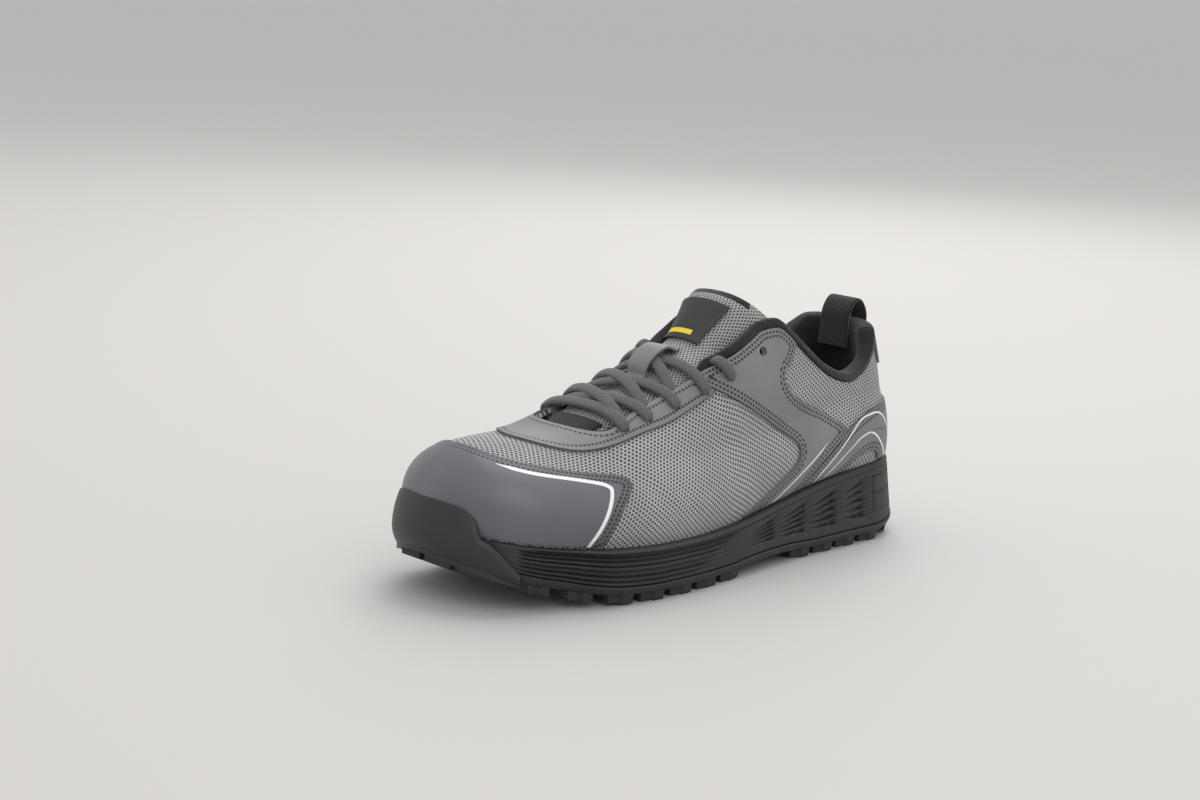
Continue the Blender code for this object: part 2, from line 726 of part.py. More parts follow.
bumper_round = [(s, -1) for s in (0.08, 0.05, 0.028, 0.012, 0.003, 0.0)]
bumper_round += [(s, 1) for s in (0.003, 0.012, 0.028, 0.05, 0.08, 0.12)]
inner_columns, outer_columns = [], []
for along, side in bumper_round:
    top = smooth(BUMPER_TOP, "height", along * (1.0 if side < 0 else 0.66)) * INSTEP_HEIGHT
    stand = SOLE_SIDE - 2 * CLEARANCE
    true_share = share_at(outline(along, side, stand)[0])
    low = spring(true_share) + LUG - BUMPER_DROP
    rim = rim_height(true_share)
    inner, outer = [], []
    for share in (0.0, 0.5, 1.0):
        z = low + (min(top, rim - 0.0012) - 0.001 - low) * share
        x, y, _ = outline(along, side, stand)
        inner.append((x, y, z))
        x, y, _ = outline(along, side, stand - BUMPER + 0.0012 * (1 - share) ** 2)
        outer.append((x, y, z))
    for k, share in enumerate((0.0, 0.5, 1.0)):
        if top > rim + 0.004:
            z = rim + 0.002 + (top - rim - 0.002) * share
            here, facing = column_at(along, side, z)
            inner.append(here + facing * (OVERLAY + 5 * CLEARANCE))
            outer.append(here + facing * (OVERLAY + 5 * CLEARANCE + BUMPER * (1.0, 0.85, 0.5)[k]))
        else:
            z = min(top, rim - 0.0012) - 0.001 + 0.0005 * (k + 1)
            x, y, _ = outline(along, side, stand)
            inner.append((x, y, z))
            x, y, _ = outline(along, side, stand - BUMPER * (0.9, 0.7, 0.4)[k])
            outer.append((x, y, z))
    inner_columns.append(inner)
    outer_columns.append(outer)
bumper_inner = np.array(inner_columns).transpose(1, 0, 2)
bumper_outer = np.array(outer_columns).transpose(1, 0, 2)
bumper = shell("toe_bumper", bumper_inner, bumper_outer, False, colour=RUBBER, roughness=0.45)


# Tongue: a padded sheet that follows the throat and wraps round the ankle at its top.
def tongue_line(along):
    return np.array((place(along), 0.0, smooth(TONGUE, "height", along) * INSTEP_HEIGHT))


def tongue_point(along, share):
    """Point of the tongue's outer face: share runs from -1 at its outer edge to 1."""
    run = tongue_line(along + 0.004) - tongue_line(along - 0.004)
    run /= np.linalg.norm(run)
    behind = np.array((run[2], 0.0, -run[0]))
    turn = abs(share) * math.radians(84)
    half = smooth(TONGUE, "half", along) * math.sin(turn) ** 0.85
    fall = smooth(TONGUE, "drop", along) * (1 - math.cos(turn) ** 0.85)
    middle = outline(along, 1)[2]
    point = tongue_line(along) + behind * fall
    point[1] = middle + math.copysign(half, share)
    return point


def tongue_grid(first, last, rows, width, columns):
    shares = np.linspace(-width, width, columns)
    places = np.linspace(first, last, rows)
    return np.array([[tongue_point(a, s) for s in shares] for a in places])


def patch(name, grid, low, high, **look):
    out = normals(grid, wrap=False)
    if out[:, :, 2].mean() < 0:
        out = -out
    return shell(name, grid + out * low, grid + out * high, False, **look)


BLACK = (0.02, 0.02, 0.02)
SEWN_ON = CLEARANCE, CLEARANCE + 0.0010
tongue = patch("tongue", tongue_grid(0.244, 0.578, 12, 1.0, 9), -TONGUE_THICKNESS, 0.0, colour=MESH_GREY)
label_foot = 4 * CLEARANCE
label = patch("tongue_label", tongue_grid(0.510, 0.566, 3, 0.50, 5), label_foot, label_foot + 0.0008)
keeper = patch("lace_keeper", tongue_grid(0.466, 0.486, 2, 0.30, 4), *SEWN_ON, colour=BLACK)
throat_tab = patch("throat_tab", tongue_grid(0.268, 0.294, 2, 0.30, 4), *SEWN_ON, colour=BLACK)


# Collar lining: a pad that rolls over the collar's edge and hangs inside it.
def pad_thickness(along):
    t = min(max((along - PAD_START) / 0.12, 0.0), 1.0)
    return 0.0013 + 0.0052 * t * t * (3 - 2 * t)


def pad_section(along, side):
    edge = smooth(EDGES, "lateral" if side < 0 else "medial", along) * INSTEP_HEIGHT
    here, facing = skin_at(along, side, edge)
    below, _ = skin_at(along, side, edge - 0.004)
    rise = here - below
    rise /= np.linalg.norm(rise)
    thick = pad_thickness(along)
    back = WALL + thick
    roll = (
        (-0.0003, 0.0007),
        (-0.0002, 0.0024),
        (-(WALL + thick / 2) * 0.7, 0.0036),
        (-back + 0.001, 0.0022),
        (-back, -0.0004),
    )
    section = [here + facing * outward + rise * up for outward, up in roll]
    behind_wall = -WALL - 0.0017
    hang = (
        (-back, 0.016),
        (-WALL - thick * 0.5, PAD_DEPTH),
        (behind_wall, PAD_DEPTH),
        (behind_wall, 0.016),
    )
    for outward, drop in hang:
        deep, out = skin_at(along, side, edge - drop)
        section.append(deep + out * outward)
    section.append(here - facing * (WALL + 0.0011) + rise * 0.0008)
    return section


pad_shares = [opening(s, -1)[0] for s in STATIONS if s > FAN_END]
pad_shares = [share for share in pad_shares if share >= PAD_START]
pad_places = [(s, -1) for s in pad_shares] + [(1.0, 1)] + [(s, 1) for s in reversed(pad_shares)]
pad_columns = np.array([pad_section(*place_and_side) for place_and_side in pad_places])
pad_rows, pad_ring = pad_columns.shape[:2]
pad_last = (pad_rows - 1) * pad_ring
pad_faces = strips(pad_rows, pad_ring, True)
pad_faces += [tuple(range(pad_ring)), tuple(range(pad_last, pad_last + pad_ring))]
lining = make("collar_lining", pad_columns.reshape(-1, 3), pad_faces, colour=BLACK, roughness=0.9)


# Ribbons: a flat band swept along points, with its width across a given direction.
def ribbon(points, width, thickness, across):
    points = np.array(points)
    run = np.gradient(points, axis=0)
    run /= np.linalg.norm(run, axis=1, keepdims=True)
    band = ((-0.5, 0), (-0.3, 0.5), (0.3, 0.5), (0.5, 0), (0.3, -0.5), (-0.3, -0.5))
    ring = []
    for here, ahead, side in zip(points, run, across):
        side = side - ahead * np.dot(side, ahead)
        side /= np.linalg.norm(side)
        up = np.cross(ahead, side)
        ring.append([here + side * width * u + up * thickness * v for u, v in band])
    ring = np.array(ring)
    rows, count = ring.shape[:2]
    last = (rows - 1) * count
    faces = strips(rows, count, True) + [tuple(range(count)), tuple(range(last, last + count))]
    return ring.reshape(-1, 3), faces


# Laces: a bar at the foot and crossings up to the fifth pair of eyelets, fused where they cross.
LACE_STAND = OVERLAY + 5 * CLEARANCE + LACE_THICKNESS / 2
LACED = EYELETS[:-1]
LACE_STEPS = 5


def lace_strand(start, end, start_side, crest_lift):
    """Middle line of a strand from one eyelet to the other side's, and its sideways directions."""
    points, across = [], []
    reaches = []
    for eyelet, side in ((start, start_side), (end, -start_side)):
        here, _ = skin_at(eyelet.along, side, eyelet.height * INSTEP_HEIGHT)
        _, edge, middle = outline(eyelet.along, side, UPPER_INSET)
        reaches.append((here[1] - middle) / abs(edge - middle))
    for i in range(LACE_STEPS + 1):
        share = i / LACE_STEPS
        along = start.along + (end.along - start.along) * share
        reach = reaches[0] + (reaches[1] - reaches[0]) * share
        side = -1 if reach < 0 else 1
        here = skin(along, abs(reach), side)
        ahead = skin(along + 0.01, abs(reach), side) - here
        sideways = skin(along, abs(reach + 0.02), -1 if reach + 0.02 < 0 else 1) - here
        facing = np.cross(ahead, sideways)
        facing /= np.linalg.norm(facing)
        points.append(here + facing * (LACE_STAND + crest_lift * math.sin(math.pi * share)))
        across.append(ahead)
    return points, across


strands = [lace_strand(LACED[0], LACED[0], -1, 0.0004)]
for low, high in zip(LACED[:-1], LACED[1:]):
    strands += [lace_strand(low, high, -1, 0.0004), lace_strand(low, high, 1, 0.0010)]
for index, (points, across) in enumerate(strands):
    band_points, band_faces = ribbon(points, LACE_WIDTH, LACE_THICKNESS, across)
    if index == 0:
        laces = make("laces", band_points, band_faces, colour=FILM_GREY, roughness=0.85)
    else:
        strand = make(f"lace_strand_{index}", band_points, band_faces, cutter=True)
        join(laces, strand, "UNION")

# Pull loop: a webbing band over the collar at the back of the heel.
back_edge = smooth(EDGES, "lateral", 1.0) * INSTEP_HEIGHT
stand = OVERLAY + 4 * CLEARANCE + LOOP_THICKNESS / 2
outside = []
for drop in (0.018, 0.012, 0.006, 0.0):
    outside.append((skin_at(1.0, 1, back_edge - drop)[0][0] + stand, back_edge - drop))
edge_x = outside[-1][0]
inner_x = skin_at(1.0, 1, back_edge)[0][0] - WALL - pad_thickness(1.0) - 3 * CLEARANCE
inner_x -= LOOP_THICKNESS / 2
loop_line = outside + [
    (edge_x, back_edge + 0.005),
    (edge_x - 0.0012, back_edge + 0.009),
    (edge_x - 0.0038, back_edge + 0.0125),
    ((edge_x + inner_x) / 2, back_edge + 0.0138),
    (inner_x + 0.0038, back_edge + 0.0125),
    (inner_x + 0.0012, back_edge + 0.009),
    (inner_x, back_edge + 0.005),
    (inner_x - 0.0004, back_edge - 0.002),
    (inner_x - 0.0012, back_edge - 0.010),
]
loop_middle = [(x, 0.0, z) for x, z in loop_line]
across = [np.array((0.0, 1.0, 0.0))] * len(loop_middle)
loop_points, loop_faces = ribbon(loop_middle, LOOP_WIDTH, LOOP_THICKNESS, across)
pull_loop = make("pull_loop", loop_points, loop_faces, colour=BLACK, roughness=0.85)
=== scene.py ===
import math

import bmesh
import bpy
import numpy as np
from mathutils import Matrix, Vector


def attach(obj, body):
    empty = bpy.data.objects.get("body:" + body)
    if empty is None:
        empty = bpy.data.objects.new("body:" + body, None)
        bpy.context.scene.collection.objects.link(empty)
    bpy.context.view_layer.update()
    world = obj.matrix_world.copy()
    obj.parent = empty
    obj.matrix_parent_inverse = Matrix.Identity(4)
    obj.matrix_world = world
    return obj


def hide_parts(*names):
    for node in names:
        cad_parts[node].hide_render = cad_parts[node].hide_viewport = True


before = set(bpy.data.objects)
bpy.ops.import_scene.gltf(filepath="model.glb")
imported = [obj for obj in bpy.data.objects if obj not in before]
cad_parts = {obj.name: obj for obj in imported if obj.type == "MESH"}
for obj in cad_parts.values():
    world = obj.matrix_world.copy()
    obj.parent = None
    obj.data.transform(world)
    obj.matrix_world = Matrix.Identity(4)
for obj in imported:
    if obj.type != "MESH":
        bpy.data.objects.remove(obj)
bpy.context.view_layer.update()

# Low safety sneaker, left foot. Toe towards -X, outer side towards -Y. Sizes in metres.
print("frame loaded")

# ---- the last's own sizes

last = {
    "length": 0.302, "width": 0.108, "rim": 0.042, "instep": 0.130, "spring": 0.025,
    "toeRound": 0.046, "heelRound": 0.040, "cup": 0.006, "inset": 0.0068,
    "belly": 0.004, "bellyHigh": 0.036, "heelFrom": 0.8, "heelBelly": 0.0010, "heelLean": 0.016,
}


def table(names, rows):
    return dict(zip(names.split(), np.array(rows, float).T))


sections = table("along lateral medial rim ridge fullness spring", [
    (0.00, 0.350, 0.455, 0.87, 0.370, 2.2, 1.00),
    (0.01, 0.356, 0.458, 0.86, 0.420, 2.2, 0.88),
    (0.03, 0.368, 0.463, 0.83, 0.470, 2.3, 0.72),
    (0.06, 0.385, 0.470, 0.79, 0.515, 2.4, 0.55),
    (0.10, 0.408, 0.480, 0.74, 0.538, 2.4, 0.39),
    (0.15, 0.438, 0.490, 0.69, 0.545, 2.4, 0.25),
    (0.20, 0.468, 0.498, 0.65, 0.552, 2.35, 0.12),
    (0.26, 0.495, 0.505, 0.62, 0.585, 2.3, 0.03),
    (0.33, 0.508, 0.492, 0.60, 0.650, 2.2, 0.00),
    (0.40, 0.502, 0.460, 0.60, 0.715, 2.1, 0.00),
    (0.48, 0.475, 0.420, 0.62, 0.815, 2.1, 0.00),
    (0.54, 0.450, 0.392, 0.655, 0.895, 2.5, 0.04),
    (0.58, 0.432, 0.378, 0.69, 0.950, 2.6, 0.05),
    (0.64, 0.410, 0.360, 0.75, 1.030, 2.6, 0.05),
    (0.72, 0.388, 0.350, 0.835, 1.100, 2.3, 0.00),
    (0.80, 0.374, 0.352, 0.90, 1.160, 2.1, 0.00),
    (0.88, 0.362, 0.356, 0.94, 1.200, 1.95, 0.00),
    (0.95, 0.350, 0.350, 0.97, 1.220, 1.95, 0.06),
    (1.00, 0.340, 0.340, 1.00, 1.230, 1.95, 0.32),
])

# heights of the throat's and collar's edge
edges = table("along lateral medial", [
    (0.29, 0.568, 0.568), (0.33, 0.608, 0.610), (0.40, 0.662, 0.662), (0.48, 0.733, 0.733),
    (0.54, 0.788, 0.790), (0.58, 0.832, 0.845), (0.61, 0.864, 0.880), (0.64, 0.870, 0.870), (0.68, 0.812, 0.820),
    (0.72, 0.742, 0.765), (0.76, 0.680, 0.730), (0.80, 0.642, 0.710), (0.83, 0.630, 0.705),
    (0.87, 0.654, 0.720), (0.91, 0.715, 0.755), (0.95, 0.780, 0.790), (1.00, 0.800, 0.800),
])


def through(rows, column, at):
    xs, ys = rows["along"], rows[column]
    at = np.clip(at, xs[0], xs[-1])
    k = np.clip(np.searchsorted(xs, at, side="right") - 1, 0, len(xs) - 2)
    slopes = np.diff(ys) / np.diff(xs)
    before, after = np.r_[slopes[0], slopes], np.r_[slopes, slopes[-1]]
    both = before * after
    tangent = np.where(both <= 0, 0.0, 2 * both / np.where(both <= 0, 1.0, before + after))
    step = xs[k + 1] - xs[k]
    t = (at - xs[k]) / step
    value = ys[k] * (1 + 2 * t) * (1 - t) ** 2 + ys[k + 1] * t * t * (3 - 2 * t)
    return value + step * t * (1 - t) * (tangent[k] * (1 - t) - tangent[k + 1] * t)


def place(along):
    return -last["length"] / 2 + along * last["length"]


def shareAt(x):
    return (x + last["length"] / 2) / last["length"]


def rimHeight(along):
    return through(sections, "rim", along) * last["rim"]


def springHeight(along):
    return through(sections, "spring", along) * last["spring"]


def outline(along, side, inset=0.0):
    along = np.asarray(along, float)
    length = last["length"] - 2 * inset
    lateral = through(sections, "lateral", along) * last["width"]
    medial = through(sections, "medial", along) * last["width"]
    toe = along < 0.5
    end = np.where(toe, last["toeRound"], last["heelRound"]) - inset
    power = np.where(toe, 2.15, 2.2)
    near = np.clip(np.minimum(along, 1 - along) * length, 0, None) / end
    cap = (1 - (1 - np.clip(near, 0, 1)) ** power) ** (1 / power)
    middle = (medial - lateral) / 2
    half = ((medial + lateral) / 2 - inset) * cap
    return place(0) + inset + along * length, middle + side * half, middle


def skin(along, reach, side):
    # outer face of the upper: reach is 1 at the sole, 0 on the crest
    along, reach = np.asarray(along, float), np.asarray(reach, float)
    x, y, middle = outline(along, side, last["inset"])
    floor = rimHeight(shareAt(x)) - last["cup"]
    crest = through(sections, "ridge", along) * last["instep"]
    power = through(sections, "fullness", along)
    lift = (crest - floor) * np.clip(1 - np.clip(reach, 0, 1) ** power, 0, 1) ** (1 / power)
    half = np.abs(y - middle)
    free = np.maximum(0.0, lift - last["cup"])
    heel = np.maximum(0.0, (along - last["heelFrom"]) / (1 - last["heelFrom"])) ** 2
    belly = np.sin(np.minimum(1.0, free / last["bellyHigh"]) * math.pi) * np.minimum(1.0, half / 0.02)
    swell = last["belly"] * belly * (1 - 0.8 * heel)
    back = last["heelBelly"] * np.sin(np.minimum(1.0, free / 0.040) * math.pi)
    back = -back - last["heelLean"] * (free / 0.060) ** 1.4
    y = middle + side * (half * reach + swell)
    return np.stack(np.broadcast_arrays(x + heel * back, y, floor + lift), axis=-1)


def reachAt(along, side, height):
    floor = rimHeight(shareAt(outline(along, side, last["inset"])[0])) - last["cup"]
    crest = through(sections, "ridge", along) * last["instep"]
    power = through(sections, "fullness", along)
    share = np.clip((height - floor) / (crest - floor), 0, 1)
    return (1 - share ** power) ** (1 / power)


def skinAt(along, side, height):
    # point and outward normal at a height
    reach = reachAt(along, side, height)
    here = skin(along, reach, side)
    front, rear = np.maximum(along - 0.002, 0), np.minimum(along + 0.002, 1)
    ahead = skin(rear, reach, side) - skin(front, reach, side)
    rise = skin(along, np.maximum(reach - 0.01, 0), side) - here
    facing = np.cross(ahead, rise) * -side
    return here, facing / np.linalg.norm(facing, axis=-1, keepdims=True)


def edgeHeight(along, side):
    return through(edges, "lateral" if side < 0 else "medial", along) * last["instep"]


# ---- the wall as a fine net of points, its columns fanned towards the throat

net = {
    "throatFront": 0.290, "throatRound": 0.017, "fanEnd": 0.12, "leanEnd": 0.70, "perSide": 168, "levels": 68,
}
coarse = [
    0.0, 0.003, 0.012, 0.028, 0.05, 0.08, 0.12, 0.165, 0.21, 0.26, 0.31, 0.36, 0.41, 0.46, 0.51, 0.56,
    0.60, 0.64, 0.68, 0.72, 0.76, 0.80, 0.84, 0.88, 0.915, 0.945, 0.97, 0.99, 1.0,
]
stations = np.interp(
    np.linspace(0, len(coarse) - 1, net["perSide"] + 1), np.arange(len(coarse)), coarse
)
roundTrip = [(s, -1) for s in stations] + [(s, 1) for s in stations[::-1]]


def openingAt(along, side):
    if along >= net["leanEnd"]:
        return along, None
    start = max(along, net["fanEnd"])
    t = (start - net["fanEnd"]) / (net["leanEnd"] - net["fanEnd"])
    end = start + (net["throatFront"] - net["fanEnd"]) * (1 - t * t * (3 - 2 * t))
    y = float(skin(end, reachAt(end, side, edgeHeight(end, side)), side)[1])
    if along < net["fanEnd"]:
        turn = along / net["fanEnd"] * math.pi / 2
        middle = float(outline(end, side)[2])
        end -= net["throatRound"] / last["length"] * math.cos(turn)
        y = middle + (y - middle) * math.sin(turn)
    return end, y


def wallColumn(along, side):
    # points, and for each its own along, reach and side
    end, endY = openingAt(along, side)
    if endY is None:
        top = math.acos(float(reachAt(along, side, edgeHeight(along, side))))
        reach = np.cos(top * np.linspace(0, 1, 121))
        here, actual = np.full(121, along), np.full(121, float(side))
    else:
        startX, startY, _ = outline(along, side, last["inset"])
        endX = outline(end, side, last["inset"])[0]
        share = np.linspace(0, 1, 161) ** 3
        x, y = startX + (endX - startX) * share, startY + (endY - startY) * share
        here = (x - place(0) - last["inset"]) / (last["length"] - 2 * last["inset"])
        _, edgeY, middle = outline(here, side, last["inset"])
        actual = np.where(y < middle, -1.0, 1.0)
        actual[np.abs(y - middle) < 1e-7] = side
        actual[0] = side
        reach = np.clip(np.abs(y - middle) / np.maximum(np.abs(edgeY - middle), 1e-9), 0, 1)
        reach[0] = 1.0
    path = skin(here, reach, actual)
    run = np.r_[0, np.cumsum(np.linalg.norm(np.diff(path, axis=0), axis=1))]
    cup = np.interp(path[0, 2] + last["cup"] + 0.0008, path[:60, 2], run[:60])
    marks = np.r_[0, cup / 2, np.linspace(cup, run[-1], net["levels"] - 2)]
    return [np.interp(marks, run, column) for column in (*path.T, here, reach, actual)]


columns = np.array([wallColumn(s, side) for s, side in roundTrip])
wallNet = columns[:, :3].transpose(2, 0, 1)
netAlong, netReach = columns[:, 3].T, columns[:, 4].T
netSide = np.where(columns[:, 5].T < 0, -1.0, 1.0)
wallNet[:, -1] = wallNet[:, 0]


def netNormals(points, wrap):
    if wrap:  # the first and last columns lie on one another at the toe
        ring = np.concatenate([points[:, -2:-1], points, points[:, 1:2]], axis=1)
        around = ring[:, 2:] - ring[:, :-2]
    else:
        around = np.gradient(points, axis=1)
    found = np.cross(around, np.gradient(points, axis=0))
    length = np.linalg.norm(found, axis=2, keepdims=True)
    return found / np.maximum(length, 1e-12)


wallNormals = netNormals(wallNet, True)
heelColumn = len(stations)  # the heel's middle column comes twice too
heelNormals = wallNormals[:, heelColumn - 2] + wallNormals[:, heelColumn + 1]
heelNormals /= np.linalg.norm(heelNormals, axis=1, keepdims=True)
wallNormals[:, heelColumn - 1] = wallNormals[:, heelColumn] = heelNormals


def clothPlaces():
    # true lengths over the surface: forward along the shoe, and down from the crest
    steps = np.linspace(0, 1, 26)
    path = np.stack([skin(netAlong, netReach * step, netSide) for step in steps])
    down = np.linalg.norm(np.diff(path, axis=0), axis=-1).sum(axis=0) * netSide
    line = np.linspace(net["leanEnd"], 1, 200)
    x, y, _ = outline(line, -1, last["inset"])
    run = np.r_[0, np.cumsum(np.hypot(np.diff(x), np.diff(y)))] + x[0]
    column = np.array([s for s, _ in roundTrip])
    round_ = np.interp(column, line, run)[None, :]
    return np.where(column[None, :] > net["leanEnd"], round_, wallNet[:, :, 0]), down


clothForward, clothDown = clothPlaces()
print("last worked out")

# ---- making pieces


def clearChoice():
    bpy.ops.object.select_all(action="DESELECT")


def choose(obj):
    clearChoice()
    obj.select_set(True)
    bpy.context.view_layer.objects.active = obj


def inEdit(obj, *steps):
    # runs edit-mode steps on everything in the piece
    choose(obj)
    bpy.ops.object.mode_set(mode="EDIT")
    bpy.ops.mesh.select_all(action="SELECT")
    for step in steps:
        step()
    bpy.ops.object.mode_set(mode="OBJECT")


def joined(pieces):
    clearChoice()
    for each in pieces:
        each.select_set(True)
    bpy.context.view_layer.objects.active = pieces[0]
    bpy.ops.object.join()
    return bpy.context.active_object


def mergeClose():
    bpy.ops.mesh.remove_doubles(threshold=0.00002)


def facesOut():
    bpy.ops.mesh.select_all(action="SELECT")
    bpy.ops.mesh.normals_make_consistent(inside=False)


def chooseRims():
    bpy.ops.mesh.select_all(action="DESELECT")
    bpy.ops.mesh.select_non_manifold(
        extend=False, use_wire=False, use_boundary=True,
        use_multi_face=False, use_non_contiguous=False, use_verts=False,
    )


def closeTube(obj):
    # merges a tube's seam and fills its two open ends
    inEdit(obj, mergeClose, chooseRims, bpy.ops.mesh.edge_face_add, facesOut)
    return obj


def gridPiece(name, points, places=None, closeUp=False):
    # a plain grid, laid over the given net of points
    rows, cols = points.shape[:2]
    clearChoice()
    bpy.ops.mesh.primitive_grid_add(x_subdivisions=cols - 1, y_subdivisions=rows - 1, size=0.1)
    obj = bpy.context.active_object
    obj.name = obj.data.name = name
    obj.data.vertices.foreach_set("co", points.reshape(-1))
    layer = obj.data.uv_layers[0] if obj.data.uv_layers else obj.data.uv_layers.new(name="UVMap")
    layer.name = "cloth"
    if places is not None:
        index = np.empty(len(obj.data.loops), int)
        obj.data.loops.foreach_get("vertex_index", index)
        flat = np.stack([places[0].reshape(-1), places[1].reshape(-1)], axis=1)[index]
        layer.data.foreach_set("uv", flat.reshape(-1))
    obj.data.update()
    if closeUp:
        inEdit(obj, mergeClose)
    return obj


def apply(obj, kind, **settings):
    step = obj.modifiers.new(kind.title(), kind)
    for key, value in settings.items():
        setattr(step, key, value)
    choose(obj)
    bpy.ops.object.modifier_apply(modifier=step.name)
    return obj


def smoothShade(obj, angle=35):
    choose(obj)
    bpy.ops.object.shade_smooth_by_angle(angle=math.radians(angle))


def pointsOf(obj):
    found = np.empty(len(obj.data.vertices) * 3)
    obj.data.vertices.foreach_get("co", found)
    return found.reshape(-1, 3)


def trimTo(obj, keep):
    # cuts the sheet along the line where keep, a value for each point, passes zero
    work = bmesh.new()
    work.from_mesh(obj.data)
    layer = work.verts.layers.float.new("keep")
    work.verts.ensure_lookup_table()
    for vert in work.verts:
        vert[layer] = keep[vert.index]
    gone = [face for face in work.faces if max(vert[layer] for vert in face.verts) < 0]
    bmesh.ops.delete(work, geom=gone, context="FACES")
    cut = []
    for edge in list(work.edges):
        a, b = edge.verts
        if (a[layer] > 0) != (b[layer] > 0):
            share = a[layer] / (a[layer] - b[layer])
            _, vert = bmesh.utils.edge_split(edge, a, min(max(share, 0.02), 0.98))
            cut.append(vert)
    for vert in cut:
        vert[layer] = 0.0
    fresh = set(cut)
    for face in list(work.faces):
        ends = [vert for vert in face.verts if vert in fresh]
        if len(ends) == 2 and len(face.verts) > 3:
            try:
                bmesh.utils.face_split(face, ends[0], ends[1])
            except ValueError:
                pass  # the two ends already share an edge
    gone = [face for face in work.faces if min(vert[layer] for vert in face.verts) < -1e-9]
    bmesh.ops.delete(work, geom=gone, context="FACES")
    work.to_mesh(obj.data)
    work.free()
    return obj


def smoothThrough(ring, steps):
    # smooth line through all points of the ring but its first and last two
    line = []
    for a, b, c, d in zip(ring, ring[1:], ring[2:], ring[3:]):
        for t in np.linspace(0, 1, steps, endpoint=False):
            bend, twist = 2 * a - 5 * b + 4 * c - d, 3 * b - a - 3 * c + d
            line.append(0.5 * (2 * b + (c - a) * t + bend * t * t + twist * t ** 3))
    return line


def curveThrough(points, steps=8):
    points = np.array(points, float)
    ring = np.vstack([2 * points[0] - points[1], points, 2 * points[-1] - points[-2]])
    return np.array(smoothThrough(ring, steps) + [points[-1]])


def insideBy(points, ring):
    # distance inside a closed flat outline, negative outside
    ring = np.asarray(ring)
    near = np.full(len(points), 1e9)
    inside = np.zeros(len(points), bool)
    for a, b in zip(ring, np.roll(ring, -1, axis=0)):
        run = b - a
        t = np.clip(((points - a) @ run) / max(run @ run, 1e-18), 0, 1)
        near = np.minimum(near, np.linalg.norm(points - a - t[:, None] * run, axis=1))
        above = (a[1] > points[:, 1]) != (b[1] > points[:, 1])
        with np.errstate(divide="ignore", invalid="ignore"):
            crossing = a[0] + (points[:, 1] - a[1]) * run[0] / run[1]
        inside ^= above & (points[:, 0] < crossing)
    return np.where(inside, near, -near)


def storeValue(obj, name, values):
    layer = obj.data.attributes.get(name) or obj.data.attributes.new(name, "FLOAT", "POINT")
    layer.data.foreach_set("value", np.asarray(values, np.float32))


def markLine(obj, name, lines, reach=0.02):
    # signed distance from the nearest of some surface lines and the run along it, in millimetres
    points = pointsOf(obj)
    normals = np.empty(len(points) * 3)
    obj.data.vertices.foreach_get("normal", normals)
    normals = normals.reshape(-1, 3)
    near = np.full(len(points), 1e9)
    signed, runAt = np.full(len(points), 1.0), np.zeros(len(points))
    for line in lines:
        line, start = np.asarray(line), 0.0
        for i, (a, b) in enumerate(zip(line[:-1], line[1:])):
            run = b - a
            length = np.linalg.norm(run)
            if length < 1e-9:
                continue
            t = ((points - a) @ run) / length ** 2
            low = -50 if i == 0 else 0
            high = 50 if i == len(line) - 2 else 1
            held = np.clip(t, low, high)
            away = points - a - held[:, None] * run
            distance = np.linalg.norm(away, axis=1)
            over = np.maximum(0, np.maximum(-t, t - 1)) * length  # past the line's ends
            hit = (distance + over * 1e-3 < near) & (over < reach)
            sign = np.sign(np.einsum("ij,ij->i", np.cross(run, away), normals))
            near = np.where(hit, distance + over * 1e-3, near)
            signed = np.where(hit, distance * np.where(sign == 0, 1, sign), signed)
            runAt = np.where(hit, start + t * length, runAt)
            start += length
    signed = np.clip(signed, -reach * 2, reach * 2)
    storeValue(obj, name, signed * 1000)
    storeValue(obj, name + "Run", runAt * 1000)


def freeEdges(obj, lowest):
    # the sheet's own rim as open lines, leaving out what lowest(point) says lies on the sole
    work = bmesh.new()
    work.from_mesh(obj.data)
    rim = {
        edge.index: edge for edge in work.edges
        if edge.is_boundary and not all(lowest(v.co) for v in edge.verts)
    }
    lines = []
    while rim:
        edge = rim.pop(max(rim, key=lambda i: rim[i].verts[0].co.y))  # starts on the inner side
        line = [edge.verts[0], edge.verts[1]]
        for end in (1, 0):
            while True:
                tip = line[-1] if end else line[0]
                following = next((e for e in tip.link_edges if e.index in rim), None)
                if following is None:
                    break
                del rim[following.index]
                line.insert(len(line) if end else 0, following.other_vert(tip))
        if len(line) > 12:
            lines.append(np.array([tuple(v.co) for v in line]))
    work.free()
    return lines


def spread(line, count=None, step=0.001):
    # the same line in even steps
    run = np.r_[0, np.cumsum(np.linalg.norm(np.diff(line, axis=0), axis=1))]
    marks = np.linspace(0, run[-1], count or max(int(run[-1] / step), 2))
    return np.stack([np.interp(marks, run, line[:, k]) for k in range(3)], axis=1)


def evenLine(line):
    smooth = spread(line)
    for _ in range(3):
        smooth[1:-1] = (smooth[:-2] + 2 * smooth[1:-1] + smooth[2:]) / 4
    return smooth


def drawnOn(points, side):
    # a side view line, laid on the film
    found = []
    for along, height in curveThrough(points, 10):
        own = (along * last["length"] - last["inset"]) / (last["length"] - 2 * last["inset"])
        here, facing = skinAt(np.clip(own, 0, 1), side, height * last["instep"])
        found.append(here + facing * filmSizes["stand"])
    return np.array(found)


def finishPiece(obj, nodes, material, angle=35):
    obj.data.materials.clear()
    for each in material if isinstance(material, (list, tuple)) else [material]:
        obj.data.materials.append(each)
    smoothShade(obj, angle)
    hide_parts(*nodes)
    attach(obj, "root")
    return obj


# ---- materials


